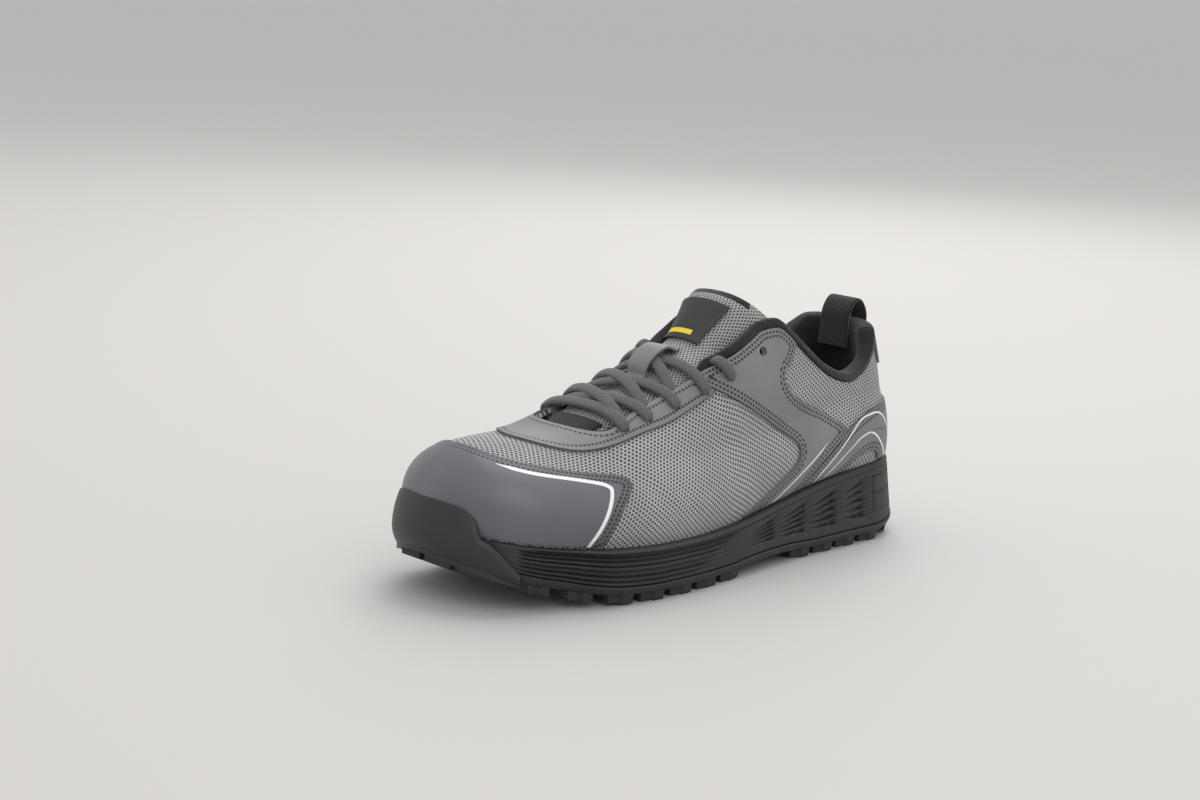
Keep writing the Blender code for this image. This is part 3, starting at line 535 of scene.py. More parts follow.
class Wire:
    def __init__(self, board, socket):
        self.board, self.socket = board, socket

    def calc(self, operation, *others):
        return self.board.add("ShaderNodeMath", {"operation": operation}, dict(enumerate((self, *others))))

    def flipped(self, operation, other):
        return self.board.add("ShaderNodeMath", {"operation": operation}, {0: other, 1: self})

    def __add__(self, other): return self.calc("ADD", other)
    def __radd__(self, other): return self.flipped("ADD", other)
    def __sub__(self, other): return self.calc("SUBTRACT", other)
    def __rsub__(self, other): return self.flipped("SUBTRACT", other)
    def __mul__(self, other): return self.calc("MULTIPLY", other)
    def __rmul__(self, other): return self.flipped("MULTIPLY", other)
    def __truediv__(self, other): return self.calc("DIVIDE", other)
    def __rtruediv__(self, other): return self.flipped("DIVIDE", other)
    def __mod__(self, other): return self.calc("FLOORED_MODULO", other)
    def __lt__(self, other): return self.calc("LESS_THAN", other)
    def __gt__(self, other): return self.calc("GREATER_THAN", other)
    def __abs__(self): return self.calc("ABSOLUTE")

    def least(self, other): return self.calc("MINIMUM", other)
    def most(self, other): return self.calc("MAXIMUM", other)
    def floor(self): return self.calc("FLOOR")

    def fade(self, low, high):
        # 0 at low, 1 at high, softly
        return self.board.add(
            "ShaderNodeMapRange", {"interpolation_type": "SMOOTHSTEP"},
            {"Value": self, "From Min": low, "From Max": high, "To Min": 0.0, "To Max": 1.0},
        )


class Board:
    def __init__(self, name, roughness=0.6, **constants):
        self.material = bpy.data.materials.new(name)
        self.material.use_nodes = True
        self.tree = self.material.node_tree
        self.shader = self.tree.nodes["Principled BSDF"]
        self.put("Roughness", roughness)
        for key, value in constants.items():
            self.put(key, value)

    def add(self, kind, settings=None, values=None, output=0):
        node = self.tree.nodes.new(kind)
        for key, value in (settings or {}).items():
            setattr(node, key, value)
        for key, value in (values or {}).items():
            if isinstance(value, Wire):
                self.tree.links.new(value.socket, node.inputs[key])
            else:
                node.inputs[key].default_value = value
        return Wire(self, node.outputs[output])

    def put(self, name, value):
        if isinstance(value, Wire):
            self.tree.links.new(value.socket, self.shader.inputs[name])
        else:
            self.shader.inputs[name].default_value = value

    def blend(self, share, first, second):
        first = first if isinstance(first, Wire) else (*first, 1.0)
        second = second if isinstance(second, Wire) else (*second, 1.0)
        return self.add("ShaderNodeMix", {"data_type": "RGBA"}, {0: share, 6: first, 7: second}, 2)

    def value(self, name):
        return self.add("ShaderNodeAttribute", {"attribute_name": name}, None, 2)

    def here(self):
        return self.add("ShaderNodeTexCoord", None, None, 3)

    def cloth(self):
        # the piece's own map, in metres: across and along the cloth
        return self.apart(self.add("ShaderNodeUVMap", {"uv_map": "cloth"}))[:2]

    def apart(self, vector):
        split = self.tree.nodes.new("ShaderNodeSeparateXYZ")
        self.tree.links.new(vector.socket, split.inputs[0])
        return [Wire(self, out) for out in split.outputs]

    def noise(self, vector, scale, detail):
        return self.add("ShaderNodeTexNoise", None, {
            "Vector": vector, "Scale": scale, "Detail": detail, "Roughness": 0.5,
        })

    def bump(self, height, distance):
        self.put("Normal", self.add("ShaderNodeBump", None, {
            "Height": height, "Distance": distance, "Strength": 1.0,
        }))


def meshCloth(name, look):
    # warp-knit air mesh: offset rows of small slanted holes
    board = Board(name, look["roughness"], **{"Sheen Weight": 0.12, "Sheen Roughness": 0.5})
    u, v = board.cloth()
    row = v * (1000 / look["rowPitch"])
    shift = (row.floor() % 2) * 0.5
    x = ((u * (1000 / look["holePitch"]) + shift + row * 0.12) % 1) - 0.5
    y = (row % 1) - 0.5
    across, tall = 1 / look["holeWide"] ** 2, 1 / look["holeTall"] ** 2
    hole = 1 - (x * x * across + y * y * tall).fade(0.45, 1.25)
    patch = board.noise(board.here(), 38.0, 3.0)
    yarn = board.noise(board.here(), 2600.0, 1.0)
    light = board.blend(patch.fade(0.3, 0.7), look["yarnDark"], look["yarn"])
    light = board.blend(yarn.fade(0.35, 0.7) * 0.35, light, look["yarnPale"])
    board.put("Base Color", board.blend(hole * look["holeDepth"], light, look["hole"]))
    board.bump((1 - hole) + yarn * 0.25, look["relief"])
    return board.material


def stitchRows(board, guide, rows, pitch, dot):
    # dark pinholes in rows beside a guide line; alternate rows are offset
    gap, run = board.value(guide), board.value(guide + "Run")
    found = None
    for k, offset in enumerate(rows):
        y = (abs(gap) - offset) / dot
        x = (((run / pitch + 0.5 * (k % 2)) % 1) - 0.5) * (pitch / dot)
        pin = 1 - (x * x + y * y).fade(0.55, 1.25)
        found = pin if found is None else found.most(pin)
    return found


def film(name, look, stitches=None, lines=()):
    # thin bonded film, with pin stitches, reflective lines and a dark rim: painted shadow along its cut edge, partly
    # black piping
    board = Board(name, look["roughness"], **{"Coat Weight": look["coat"], "Coat Roughness": 0.35})
    cloud = board.noise(board.here(), 24.0, 3.0)
    grain = board.noise(board.here(), 1500.0, 2.0)
    colour = board.blend(cloud.fade(0.3, 0.72), look["dark"], look["pale"])
    height = grain * 0.3
    if stitches:
        # dark band at the rim: painted edge shadow, partly the black piping of the saddle's front edge
        dark = 1 - abs(board.value(stitches[0])).fade(look["edgeWide"] * 0.6, look["edgeWide"])
        colour = board.blend(dark * look["rimShadeAndPiping"], colour, (0.012, 0.012, 0.013))
        dots = stitchRows(board, *stitches)
        colour = board.blend(dots * 0.93, colour, (0.010, 0.010, 0.011))
        height = height - dots * 2.2
    rough = look["roughness"] + cloud * 0.08
    for line, half, first, past in lines:
        gap, run = board.value(line), board.value(line + "Run")
        taper = run.fade(first, first + look["taper"]) * 0.8 + 0.2
        mark = (1 - (abs(gap) / (taper * half)).fade(0.8, 1.15)) * (run > first) * (run < past)
        colour = board.blend(mark, colour, (0.86, 0.87, 0.88))
        height = height + mark * 0.6
        rough = rough - mark * 0.15
    board.put("Base Color", colour)
    board.put("Roughness", rough)
    board.bump(height, 0.00022)
    return board.material


def rubber(name, look, tread=False):
    board = Board(name, look["roughness"])
    cloud = board.noise(board.here(), 30.0, 4.0)
    grain = board.noise(board.here(), 1100.0, 3.0)
    colour = board.blend(cloud.fade(0.3, 0.75), look["dark"], look["pale"])
    height = grain * 0.35
    if tread:
        # fine lengthwise ribs on the lugs' bottoms
        low = 1 - board.value("lift").fade(0.10, 0.22)
        rib = abs(((board.apart(board.here())[1] * (1000 / look["ribPitch"])) % 1) - 0.5) * 2
        height = height + rib.fade(0.15, 0.6) * low * 2.4
    board.put("Base Color", colour)
    board.put("Roughness", look["roughness"] + cloud * 0.12)
    board.bump(height, 0.00020)
    return board.material


def ribbedCloth(name, look):
    # knit or webbing with ribs along one direction of its own map
    board = Board(name, look["roughness"], **{"Sheen Weight": 0.25, "Sheen Roughness": 0.4})
    u, v = board.cloth()
    fuzz = board.noise(board.here(), 2200.0, 2.0)
    rib = abs(((u * (1000 / look["ribPitch"])) % 1) - 0.5) * 2
    cross = abs(((v * (1000 / look["crossPitch"])) % 1) - 0.5) * 2
    height = rib.fade(0.05, 0.8) + cross.fade(0.1, 0.9) * look["cross"]
    # the colour follows the rib height: painted shade in the grooves between the ribs, with a random fuzz tone
    board.put("Base Color", board.blend(height * 0.6 + fuzz * 0.3, look["dark"], look["pale"]))
    board.bump(height + fuzz * 0.3, look["relief"])
    return board.material


def laceWeave(name, look):
    # braid: two sets of slanted yarns
    board = Board(name, look["roughness"], **{"Sheen Weight": 0.2, "Sheen Roughness": 0.4})
    u, v = (axis * (1000 / look["pitch"]) for axis in board.cloth())
    fuzz = board.noise(board.here(), 2500.0, 2.0)
    one = abs(((u + v) % 1) - 0.5) * 2
    two = abs(((u - v) % 1) - 0.5) * 2
    height = one.fade(0.0, 0.8) * 0.6 + two.fade(0.0, 0.8) * 0.6
    # the colour follows the yarn height: painted shade between the yarns, with a random fuzz tone
    board.put("Base Color", board.blend(height * 0.75 + fuzz * 0.2, look["dark"], look["pale"]))
    board.bump(height + fuzz * 0.25, look["relief"])
    return board.material


meshLook = {
    "roughness": 0.88, "rowPitch": 1.55, "holePitch": 2.3, "holeWide": 0.32, "holeTall": 0.40, "holeDepth": 0.92,
    "yarn": (0.41, 0.403, 0.403), "yarnDark": (0.34, 0.335, 0.335), "yarnPale": (0.58, 0.57, 0.57),
    "hole": (0.040, 0.040, 0.041), "relief": 0.00036,
}
filmLook = {
    "roughness": 0.50, "coat": 0.10, "dark": (0.165, 0.167, 0.176), "pale": (0.205, 0.208, 0.218),
    "edgeWide": 0.45, "rimShadeAndPiping": 0.85, "taper": 8.0,
}
capLook = dict(filmLook, roughness=0.40, coat=0.25, dark=(0.098, 0.103, 0.118), pale=(0.125, 0.131, 0.147))
rubberLook = {
    "roughness": 0.50, "dark": (0.0175, 0.0175, 0.0180), "pale": (0.0265, 0.0265, 0.0275), "ribPitch": 1.35,
}
blackKnit = {
    "roughness": 0.92, "ribPitch": 1.15, "crossPitch": 0.8, "cross": 0.5, "relief": 0.00020,
    "dark": (0.0025, 0.0025, 0.0028), "pale": (0.010, 0.010, 0.0105),
}
webbing = dict(blackKnit, ribPitch=1.2, crossPitch=0.8, cross=0.5, relief=0.00025)
laceLook = {
    "roughness": 0.85, "pitch": 1.5, "relief": 0.00030,
    "dark": (0.036, 0.036, 0.038), "pale": (0.150, 0.150, 0.153),
}

# ---- outlines of the overlays, in the side view's and the plan's shares

capEdge = [
    (0.072, 0.62), (0.083, 0.545), (0.102, 0.514), (0.139, 0.492), (0.197, 0.464), (0.255, 0.446),
    (0.272, 0.434), (0.278, 0.416), (0.272, 0.395), (0.247, 0.329), (0.228, 0.250), (0.212, 0.150),
]
saddleFront = [
    (0.430, 0.84), (0.448, 0.745), (0.471, 0.705), (0.525, 0.636), (0.590, 0.549), (0.648, 0.470),
    (0.662, 0.440), (0.664, 0.405), (0.653, 0.369), (0.598, 0.293), (0.550, 0.235), (0.500, 0.150),
]
saddleBack = [
    (0.665, 0.180), (0.683, 0.265), (0.722, 0.347), (0.760, 0.410), (0.788, 0.462), (0.737, 0.538),
    (0.690, 0.585), (0.656, 0.630), (0.640, 0.680), (0.642, 0.722), (0.658, 0.750), (0.700, 0.900),
]
counterEdge = [
    (0.683, 0.262), (0.690, 0.278), (0.727, 0.347), (0.765, 0.410), (0.797, 0.465), (0.840, 0.505),
    (0.884, 0.530), (0.930, 0.540), (1.040, 0.540),
]
tabEdge = [(0.880, 0.95), (0.897, 0.730), (0.915, 0.680), (0.950, 0.662), (1.040, 0.655)]
stayPlan = [
    (0.160, 0.000), (0.163, 0.050), (0.175, 0.120), (0.193, 0.176), (0.222, 0.227), (0.255, 0.262),
    (0.290, 0.281), (0.320, 0.291), (0.365, 0.300), (0.409, 0.302), (0.460, 0.300), (0.540, 0.290),
]
eyelets = [(0.305, 0.568), (0.351, 0.595), (0.409, 0.630), (0.471, 0.671), (0.522, 0.716), (0.598, 0.792)]


def sideShape(points, steps=8):
    line = curveThrough(points, steps)
    return [(place(a), h * last["instep"]) for a, h in line]


def rimLine(first, past, gap=0.0009):
    return [(place(a), float(rimHeight(a)) + gap) for a in np.linspace(first, past, 40)]


def onSole(co):
    return co[2] < float(rimHeight(shareAt(co[0]))) + 0.0016


def sharpRound(obj, width, segments=2, angle=50):
    apply(obj, "BEVEL", width=width, segments=segments, limit_method="ANGLE", angle_limit=math.radians(angle))


def wallInwards(obj, thick):
    apply(
        obj, "SOLIDIFY", thickness=thick, offset=-1.0, use_even_offset=False, use_quality_normals=True
    )


# ---- eyelet drill, one ring of cylinders

eyeletSizes = {"radius": 0.0023, "depth": 0.012}
drills = []
clearChoice()
for side in (-1, 1):
    for along, height in eyelets:
        here, facing = skinAt(along, side, height * last["instep"])
        bpy.ops.mesh.primitive_cylinder_add(
            vertices=20, radius=eyeletSizes["radius"], depth=eyeletSizes["depth"],
            location=here, rotation=Vector(facing).to_track_quat("Z", "Y").to_euler(),
        )
        drills.append(bpy.context.active_object)
drill = joined(drills)
drill.name = "eyeletDrill"


def pierce(obj):
    apply(obj, "BOOLEAN", operation="DIFFERENCE", object=drill, solver="EXACT")


# ---- upper

upperSizes = {"wall": 0.0022}
# soft flex troughs, each with a low ridge behind it
creases = table("along long height wide depth", [
    (0.300, 0.040, 0.42, 0.050, 0.0006), (0.335, 0.034, 0.36, 0.040, 0.0005),
    (0.395, 0.050, 0.30, 0.040, 0.0004), (0.560, 0.060, 0.52, 0.060, 0.0005),
    (0.830, 0.040, 0.56, 0.040, 0.0006),
])


def creased(points):
    push = np.zeros(points.shape[:2])
    along, height = shareAt(points[:, :, 0]), points[:, :, 2] / last["instep"]
    for a, long, h, wide, depth in zip(*creases.values()):
        away = along - a + (height - h) * 0.35
        band = ((height - h) / (wide * 2)) ** 2
        push -= depth * np.exp(-(away / (long * 0.35)) ** 2 - band)
        push += depth * 0.6 * np.exp(-((away - long * 0.55) / (long * 0.4)) ** 2 - band)
    return push


upperFace = wallNet + wallNormals * creased(wallNet)[:, :, None]
upper = gridPiece("upperMesh", upperFace, (clothForward, clothDown), closeUp=True)
wallInwards(upper, upperSizes["wall"])
pierce(upper)
finishPiece(upper, ["upper"], meshCloth("grey air mesh", meshLook))
print("upper done")

# ---- overlays

filmSizes = {"stand": 0.0013, "thick": 0.0010, "round": 0.00025}


def sideKeep(ring, side=0):
    def keepAt(points):
        found = insideBy(points[:, [0, 2]], ring)
        return np.minimum(found, points[:, 1] * side - 0.002) if side else found
    return keepAt


def overlay(name, node, keepAt, look, rows, pitch, dot, lines=(), pierced=False):
    # a film over the skin, trimmed to its outline; rows are its stitch rows' distances from its rim
    sheet = gridPiece(
        name, wallNet + wallNormals * filmSizes["stand"], (clothForward, clothDown), closeUp=True
    )
    trimTo(sheet, keepAt(pointsOf(sheet)))
    guides = [evenLine(line) for line in freeEdges(sheet, onSole)]
    wallInwards(sheet, filmSizes["thick"])
    sharpRound(sheet, filmSizes["round"], angle=55)
    if pierced:
        pierce(sheet)
    markLine(sheet, "rimGap", guides)
    drawn = []
    for k, (points, sides, half, first, past) in enumerate(lines):
        markLine(sheet, f"line{k}", [drawnOn(points, side) for side in sides])
        drawn.append((f"line{k}", half, first, past))
    finishPiece(sheet, [node], film(node.replace("_", " "), look, ("rimGap", rows, pitch, dot), drawn))


capRing = rimLine(0.222, -0.03) + [(place(-0.05), 0.62 * last["instep"])] + sideShape(capEdge[:-1])
capLine = [
    (0.077, 0.498), (0.124, 0.464), (0.185, 0.437), (0.225, 0.418), (0.236, 0.408), (0.239, 0.389),
    (0.214, 0.290), (0.189, 0.196),
]
overlay(
    "toeCapFilm", "toe_cap", sideKeep(capRing), capLook, (1.6, 3.7), 2.1, 0.72,
    [(capLine, (-1, 1), 0.95, 8.0, 400.0)],
)

counterRing = sideShape(counterEdge[1:]) + rimLine(1.04, 0.688)
outerArc = [
    (0.714, 0.276), (0.772, 0.389), (0.822, 0.478), (0.861, 0.501), (0.884, 0.500), (0.903, 0.476),
    (0.925, 0.420),
]
innerArc = [
    (0.741, 0.285), (0.811, 0.400), (0.842, 0.429), (0.865, 0.428), (0.892, 0.383), (0.923, 0.311),
]
windowRing = sideShape([
    (0.790, 0.255), (0.806, 0.305), (0.832, 0.345), (0.861, 0.362), (0.884, 0.345), (0.893, 0.308),
    (0.896, 0.255),
], 6)


def counterKeep(points):
    side = points[:, [0, 2]]
    return np.minimum(insideBy(side, counterRing), -insideBy(side, windowRing))


overlay(
    "heelCounterFilm", "heel_counter", counterKeep, filmLook, (1.7, 3.8), 2.1, 0.68,
    [(outerArc, (-1, 1), 0.5, 0.0, 900.0), (innerArc, (-1, 1), 0.5, 0.0, 900.0)],
)

tabRing = sideShape(tabEdge) + [(place(1.04), 0.2), (place(0.88), 0.2)]
overlay("heelTabFilm", "heel_tab", sideKeep(tabRing), filmLook, (2.4,), 1.9, 0.55)

saddleRing = sideShape(saddleFront[:-1]) + rimLine(0.512, 0.672) + sideShape(saddleBack[1:])
saddleRing += [(place(0.70), 0.2), (place(0.43), 0.2)]
saddleLine = [(0.737, 0.430), (0.705, 0.378), (0.672, 0.332), (0.640, 0.285), (0.595, 0.224)]
for name, node, side in (
    ("saddleLateralFilm", "saddle_lateral", -1), ("saddleMedialFilm", "saddle_medial", 1),
):
    overlay(
        name, node, sideKeep(saddleRing, side), filmLook, (1.9, 4.0), 2.1, 0.70,
        [(saddleLine, (side,), 0.45, 0.0, 900.0)], pierced=True,
    )

middleLine = float(outline(net["throatFront"], -1)[2])
halfPlan = curveThrough([(place(a), y * last["width"]) for a, y in stayPlan], 8)
planRing = [(x, middleLine - y) for x, y in halfPlan]
planRing += [(x, middleLine + y) for x, y in halfPlan[:0:-1]]
backRing = [(x - 0.0005, z) for x, z in sideShape(saddleFront[:6])]
backRing += [(place(0.66), 0.2), (place(0.43), 0.2)]


def stayKeep(points):
    return np.minimum(insideBy(points[:, :2], planRing), -insideBy(points[:, [0, 2]], backRing))


stayLook = dict(filmLook, dark=(0.140, 0.143, 0.153), pale=(0.175, 0.178, 0.188))
overlay("eyestayFilm", "eyestay", stayKeep, stayLook, (3.0,), 2.1, 0.70, pierced=True)
bpy.data.objects.remove(drill, do_unlink=True)
print("overlays done")

# ---- midsole: cup with long grooves in front and wedge louvres behind

soleSizes = {
    "gap": 0.0003, "plate": 0.0040, "lug": 0.0042, "inset": 0.0012, "tuck": 0.0030, "heelSet": 0.0045,
    "band": 0.0065,
}
louvres = table("front length depth low high", [
    (0.532, 0.073, 0.0018, 0.24, 0.80), (0.616, 0.076, 0.0022, 0.18, 0.82),
    (0.701, 0.077, 0.0025, 0.16, 0.83), (0.794, 0.064, 0.0026, 0.16, 0.84),
])
louvreSizes = {"slats": 5, "fan": 0.76, "droop": 0.07, "ramp": 0.014, "step": 0.0008}
grooves = {"levels": (0.13, 0.27, 0.41, 0.55, 0.69, 0.80), "depth": 0.0011, "half": 0.038}
heelPanel = {"front": 0.880, "rear": 0.952, "levels": (0.22, 0.50, 0.78), "depth": 0.0010}


def tuckIn(along):
    return soleSizes["tuck"] * np.clip((0.22 - along) / 0.06, 0, 1)


def splitHeight(along):
    return springHeight(along) + soleSizes["lug"] + soleSizes["plate"]


def soleWall(along, share):
    heel = np.clip((along - 0.55) / 0.45, 0, None) ** 1.5
    return soleSizes["inset"] + tuckIn(along) + soleSizes["heelSet"] * heel * share


def notch(value, centre, half):
    return np.clip(1 - np.abs(value - centre) / half, 0, 1)


def soleRelief(along, share):
    # how deep the side is cut at a place: long grooves in front, fanned slats behind
    deep = np.zeros(np.broadcast(along, share).shape)
    for k, level in enumerate(grooves["levels"]):
        ends = np.clip((along - 0.070) / 0.015, 0, 1) * np.clip((0.440 + 0.018 * k - along) / 0.05, 0, 1)
        deep += grooves["depth"] * ends * np.sqrt(notch(share, level, grooves["half"]))
    fan, slats = louvreSizes["fan"], louvreSizes["slats"]
    for front, length, depth, low, high in zip(*louvres.values()):
        u = np.clip((along - front) / length, 0, 1)
        inside = (along > front) & (along < front + length)
        middle = (low + high) / 2 - louvreSizes["droop"] * (1 - u)
        w = ((share - middle) / ((high - low) * (fan + (1 - fan) * u)) + 0.5) * slats
        cut = np.clip((0.12 + 0.30 * u - np.abs((w % 1) - 0.5)) / 0.10, 0, 1)
        deep += np.where(inside & (w > 0) & (w < slats), depth * (0.15 + 0.85 * u) * cut, 0)
        behind = (along - front - length) / louvreSizes["ramp"]
        ramp = np.clip(1 - behind, 0, 1) * (behind > 0) * (share > low - 0.06) * (share < high + 0.03)
        deep += louvreSizes["step"] * ramp
    front, rear = heelPanel["front"], heelPanel["rear"]
    for end in (front, rear):
        deep += heelPanel["depth"] * notch(along, end, 0.0035) * (share > 0.20) * (share < 0.80)
    for level in heelPanel["levels"]:
        deep += heelPanel["depth"] * notch(share, level, 0.025) * (along > front) * (along < rear)
    deep += 0.0009 * np.sqrt(notch(share, 0.885, 0.020)) * np.clip((along - 0.085) / 0.02, 0, 1)
    return deep + 0.0006 * notch(share, 0.0, 0.03)


def soleRing(trip, insetOf, heightOf):
    along, side = np.array(trip, float).T
    x, y, _ = outline(along, side, insetOf(along))
    return np.stack([x, y, heightOf(shareAt(x))], axis=1)


def closedLoft(name, rings):
    # stacked rings, closed at both ends by rungs from side to side
    rings = np.array(rings)
    obj = gridPiece(name, rings)
    rows, cols = rings.shape[:2]
    work = bmesh.new()
    work.from_mesh(obj.data)
    work.verts.ensure_lookup_table()
    half = cols // 2
    for row, flip in ((0, False), (rows - 1, True)):
        ids = [row * cols + c for c in range(cols)]
        for i in range(half - 1):
            quad = [ids[i], ids[i + 1], ids[cols - 2 - i], ids[cols - 1 - i]]
            quad = quad if flip else quad[::-1]
            corners = [work.verts[j] for j in dict.fromkeys(quad)]
            if len(corners) > 2:
                work.faces.new(corners)
    bmesh.ops.remove_doubles(work, verts=work.verts, dist=0.00001)
    bmesh.ops.dissolve_degenerate(work, edges=work.edges, dist=1e-7)
    work.to_mesh(obj.data)
    work.free()
    inEdit(obj, facesOut)
    return obj


def soleStations(count):
    line = 0.5 - 0.5 * np.cos(np.linspace(0, math.pi, count))
    line = 0.75 * np.linspace(0, 1, count) + 0.25 * line
    ends = 0.004 * np.linspace(0, 1, 5) ** 2
    return np.unique(np.r_[ends, line, 1 - ends])


def midsoleHeight(along, share):
    low = splitHeight(along) + soleSizes["gap"]
    return low + (rimHeight(along) - low) * share


soleAlong = soleStations(330)
soleTrip = [(s, -1) for s in soleAlong] + [(s, 1) for s in soleAlong[::-1]]
midsoleRings = []
for share in np.r_[np.linspace(0.0, 0.93, 50), 0.96, 0.985]:
    rounding = 0.0011 * np.clip((share - 0.93) / 0.055, 0, 1) ** 2
    midsoleRings.append(soleRing(
        soleTrip,
        lambda a, s=share, r=rounding: soleWall(a, s) + soleRelief(a, s) + r,
        lambda a, s=share: midsoleHeight(a, s),
    ))
midsoleRings.append(soleRing(soleTrip, lambda a: soleWall(a, 1.0) + 0.0022, rimHeight))
# over the rim and down into the cup
for inset, drop in ((-0.0004, 0.0), (0.0, 0.0006), (0.0, last["cup"] + soleSizes["gap"])):
    midsoleRings.append(soleRing(
        soleTrip, lambda a, i=inset: a * 0 + soleSizes["band"] + i, lambda a, d=drop: rimHeight(a) - d
    ))
midsole = closedLoft("midsoleRubber", midsoleRings)
finishPiece(midsole, ["midsole"], rubber("midsole rubber", rubberLook), angle=50)
print("midsole done")

# ---- outsole: plate, and one lug modelled and copied into its rows

lugRows = [  # place, length, skew and how many across
    (0.060, 0.024, 0.10, 3), (0.112, 0.034, 0.25, 4), (0.172, 0.042, 0.30, 4), (0.232, 0.042, 0.30, 4),
    (0.292, 0.042, 0.30, 4), (0.352, 0.042, 0.30, 4), (0.412, 0.042, 0.30, 4), (0.472, 0.042, 0.30, 4),
    (0.700, 0.040, -0.30, 3), (0.760, 0.042, -0.30, 3), (0.820, 0.042, -0.30, 3),
    (0.880, 0.042, -0.25, 3), (0.938, 0.034, -0.20, 3),
]
lugSizes = {"gap": 0.0045, "edge": 0.0022, "step": 0.16, "bevel": 0.05}


def sideY(along, side, inset):
    own = (along * last["length"] - inset) / (last["length"] - 2 * inset)
    return float(outline(np.clip(own, 0, 1), side, inset)[1])


def unitLug():
    # a block one unit each way, cut across and its rear half pushed sideways
    clearChoice()
    bpy.ops.mesh.primitive_cube_add(size=1.0, location=(0.5, 0.5, 0.5))
    lug = bpy.context.active_object
    bpy.ops.object.transform_apply(location=True)
    for x in (0.46, 0.54):
        inEdit(lug, lambda: bpy.ops.mesh.bisect(plane_co=(x, 0, 0), plane_no=(1, 0, 0)))
    for vert in lug.data.vertices:
        vert.select = vert.co.x > 0.5
    choose(lug)
    bpy.ops.object.mode_set(mode="EDIT")
    bpy.ops.transform.translate(value=(0, -lugSizes["step"], 0))
    bpy.ops.object.mode_set(mode="OBJECT")
    sharpRound(lug, lugSizes["bevel"], angle=30)
    return lug


lugUnit = unitLug()
unitPoints = pointsOf(lugUnit)
plateSteps = [  # inset and depth of the plate's rounded side, from its foot up
    (0.0030, soleSizes["plate"]), (0.0018, 0.0032), (0.0010, 0.0016), (0.0008, 0.0006), (0.0014, 0.0),
]
plate = closedLoft("outsoleRubber", [
    soleRing(soleTrip[::2], lambda a, i=i: i + tuckIn(a), lambda a, d=d: splitHeight(a) - d)
    for i, d in plateSteps
])
lugs = []
for along, length, skew, count in lugRows:
    edge = lugSizes["edge"] + float(tuckIn(along))
    lowY, highY = sideY(along, -1, edge), sideY(along, 1, edge)
    wide = (highY - lowY + lugSizes["gap"]) / count
    for index in range(count):
        y0 = lowY + index * wide
        y1 = y0 + wide - lugSizes["gap"]
        slant = skew * abs((y0 + y1) / 2) / last["width"] * 0.16
        copy = lugUnit.copy()
        copy.data = lugUnit.data.copy()
        bpy.context.scene.collection.objects.link(copy)
        u, v, w = unitPoints.T
        a = along + length * (u - 0.5) + slant
        y = y0 + (y1 - y0) * (v + lugSizes["step"] / 2)
        inner = lugSizes["edge"] + tuckIn(a) + 0.0010 * (1 - w)
        own = np.clip((a * last["length"] - inner) / (last["length"] - 2 * inner), 0, 1)
        y = np.clip(y, outline(own, -1, inner)[1], outline(own, 1, inner)[1])
        z = springHeight(a) + (soleSizes["lug"] + 0.0015) * w
        copy.data.vertices.foreach_set("co", np.stack([place(a), y, z], axis=1).reshape(-1))
        copy.data.update()
        lugs.append(copy)
bpy.data.objects.remove(lugUnit, do_unlink=True)
outsole = joined([plate, *lugs])
inEdit(outsole, facesOut)
solePoints = pointsOf(outsole)
storeValue(outsole, "lift", (solePoints[:, 2] - springHeight(shareAt(solePoints[:, 0]))) * 1000)
finishPiece(outsole, ["outsole"], rubber("outsole rubber", rubberLook, tread=True), angle=40)
print("outsole done")

# ---- toe bumper

bumperTop = table("along height", [
    (0.000, 0.368), (0.012, 0.352), (0.020, 0.332), (0.030, 0.296), (0.050, 0.228), (0.080, 0.140),
])
bumperSizes = {
    "thick": 0.0026, "stand": 0.0025, "perSide": 34, "rear": 0.080, "innerRear": 0.120,
    "innerStretch": 0.66, "drop": 0.0026, "bevel": 0.0006,
}


def columnAt(along, side, height):
    own = [i for i, (_, s) in enumerate(roundTrip) if s == side]
    k = min(own, key=lambda i: abs(roundTrip[i][0] - along))
    heights = wallNet[:, k, 2]
    point = np.array([np.interp(height, heights, wallNet[:, k, j]) for j in range(3)])
    facing = np.array([np.interp(height, heights, wallNormals[:, k, j]) for j in range(3)])
    return point, facing / np.linalg.norm(facing)


def bumperColumn(along, side):
    stretch = 1.0 if side < 0 else bumperSizes["innerStretch"]
    top = float(through(bumperTop, "height", along * stretch)) * last["instep"]
    stand = soleSizes["inset"] + soleSizes["tuck"] - 0.0006
    true = shareAt(outline(along, side, stand)[0])
    low = float(springHeight(true)) + soleSizes["lug"] - bumperSizes["drop"]
    rim = float(rimHeight(true))
    middle = min(top, rim - 0.0012) - 0.001
    thick = bumperSizes["thick"]
    inner, outer = [], []

    def onSide(z, out):
        for points, inset in ((inner, stand), (outer, stand - out)):
            points.append((*outline(along, side, inset)[:2], z))

    for share in np.linspace(0, 1, 9):  # up the sole's side
        onSide(low + (middle - low) * share, thick - 0.0042 * (1 - share) ** 3)
    for share in np.linspace(0, 1, 9)[1:]:  # on over the toe, or rounded off below the rim
        if top > rim + 0.004:
            here, facing = columnAt(along, side, rim + 0.002 + (top - rim - 0.002) * share)
            off = bumperSizes["stand"] - 0.0009 * share
            inner.append(here + facing * off)
            outer.append(here + facing * (off + thick * (1 - 0.75 * share)))
        else:
            onSide(middle + 0.0015 * share, thick * (1 - 0.6 * share))
    return np.array(inner), np.array(outer)


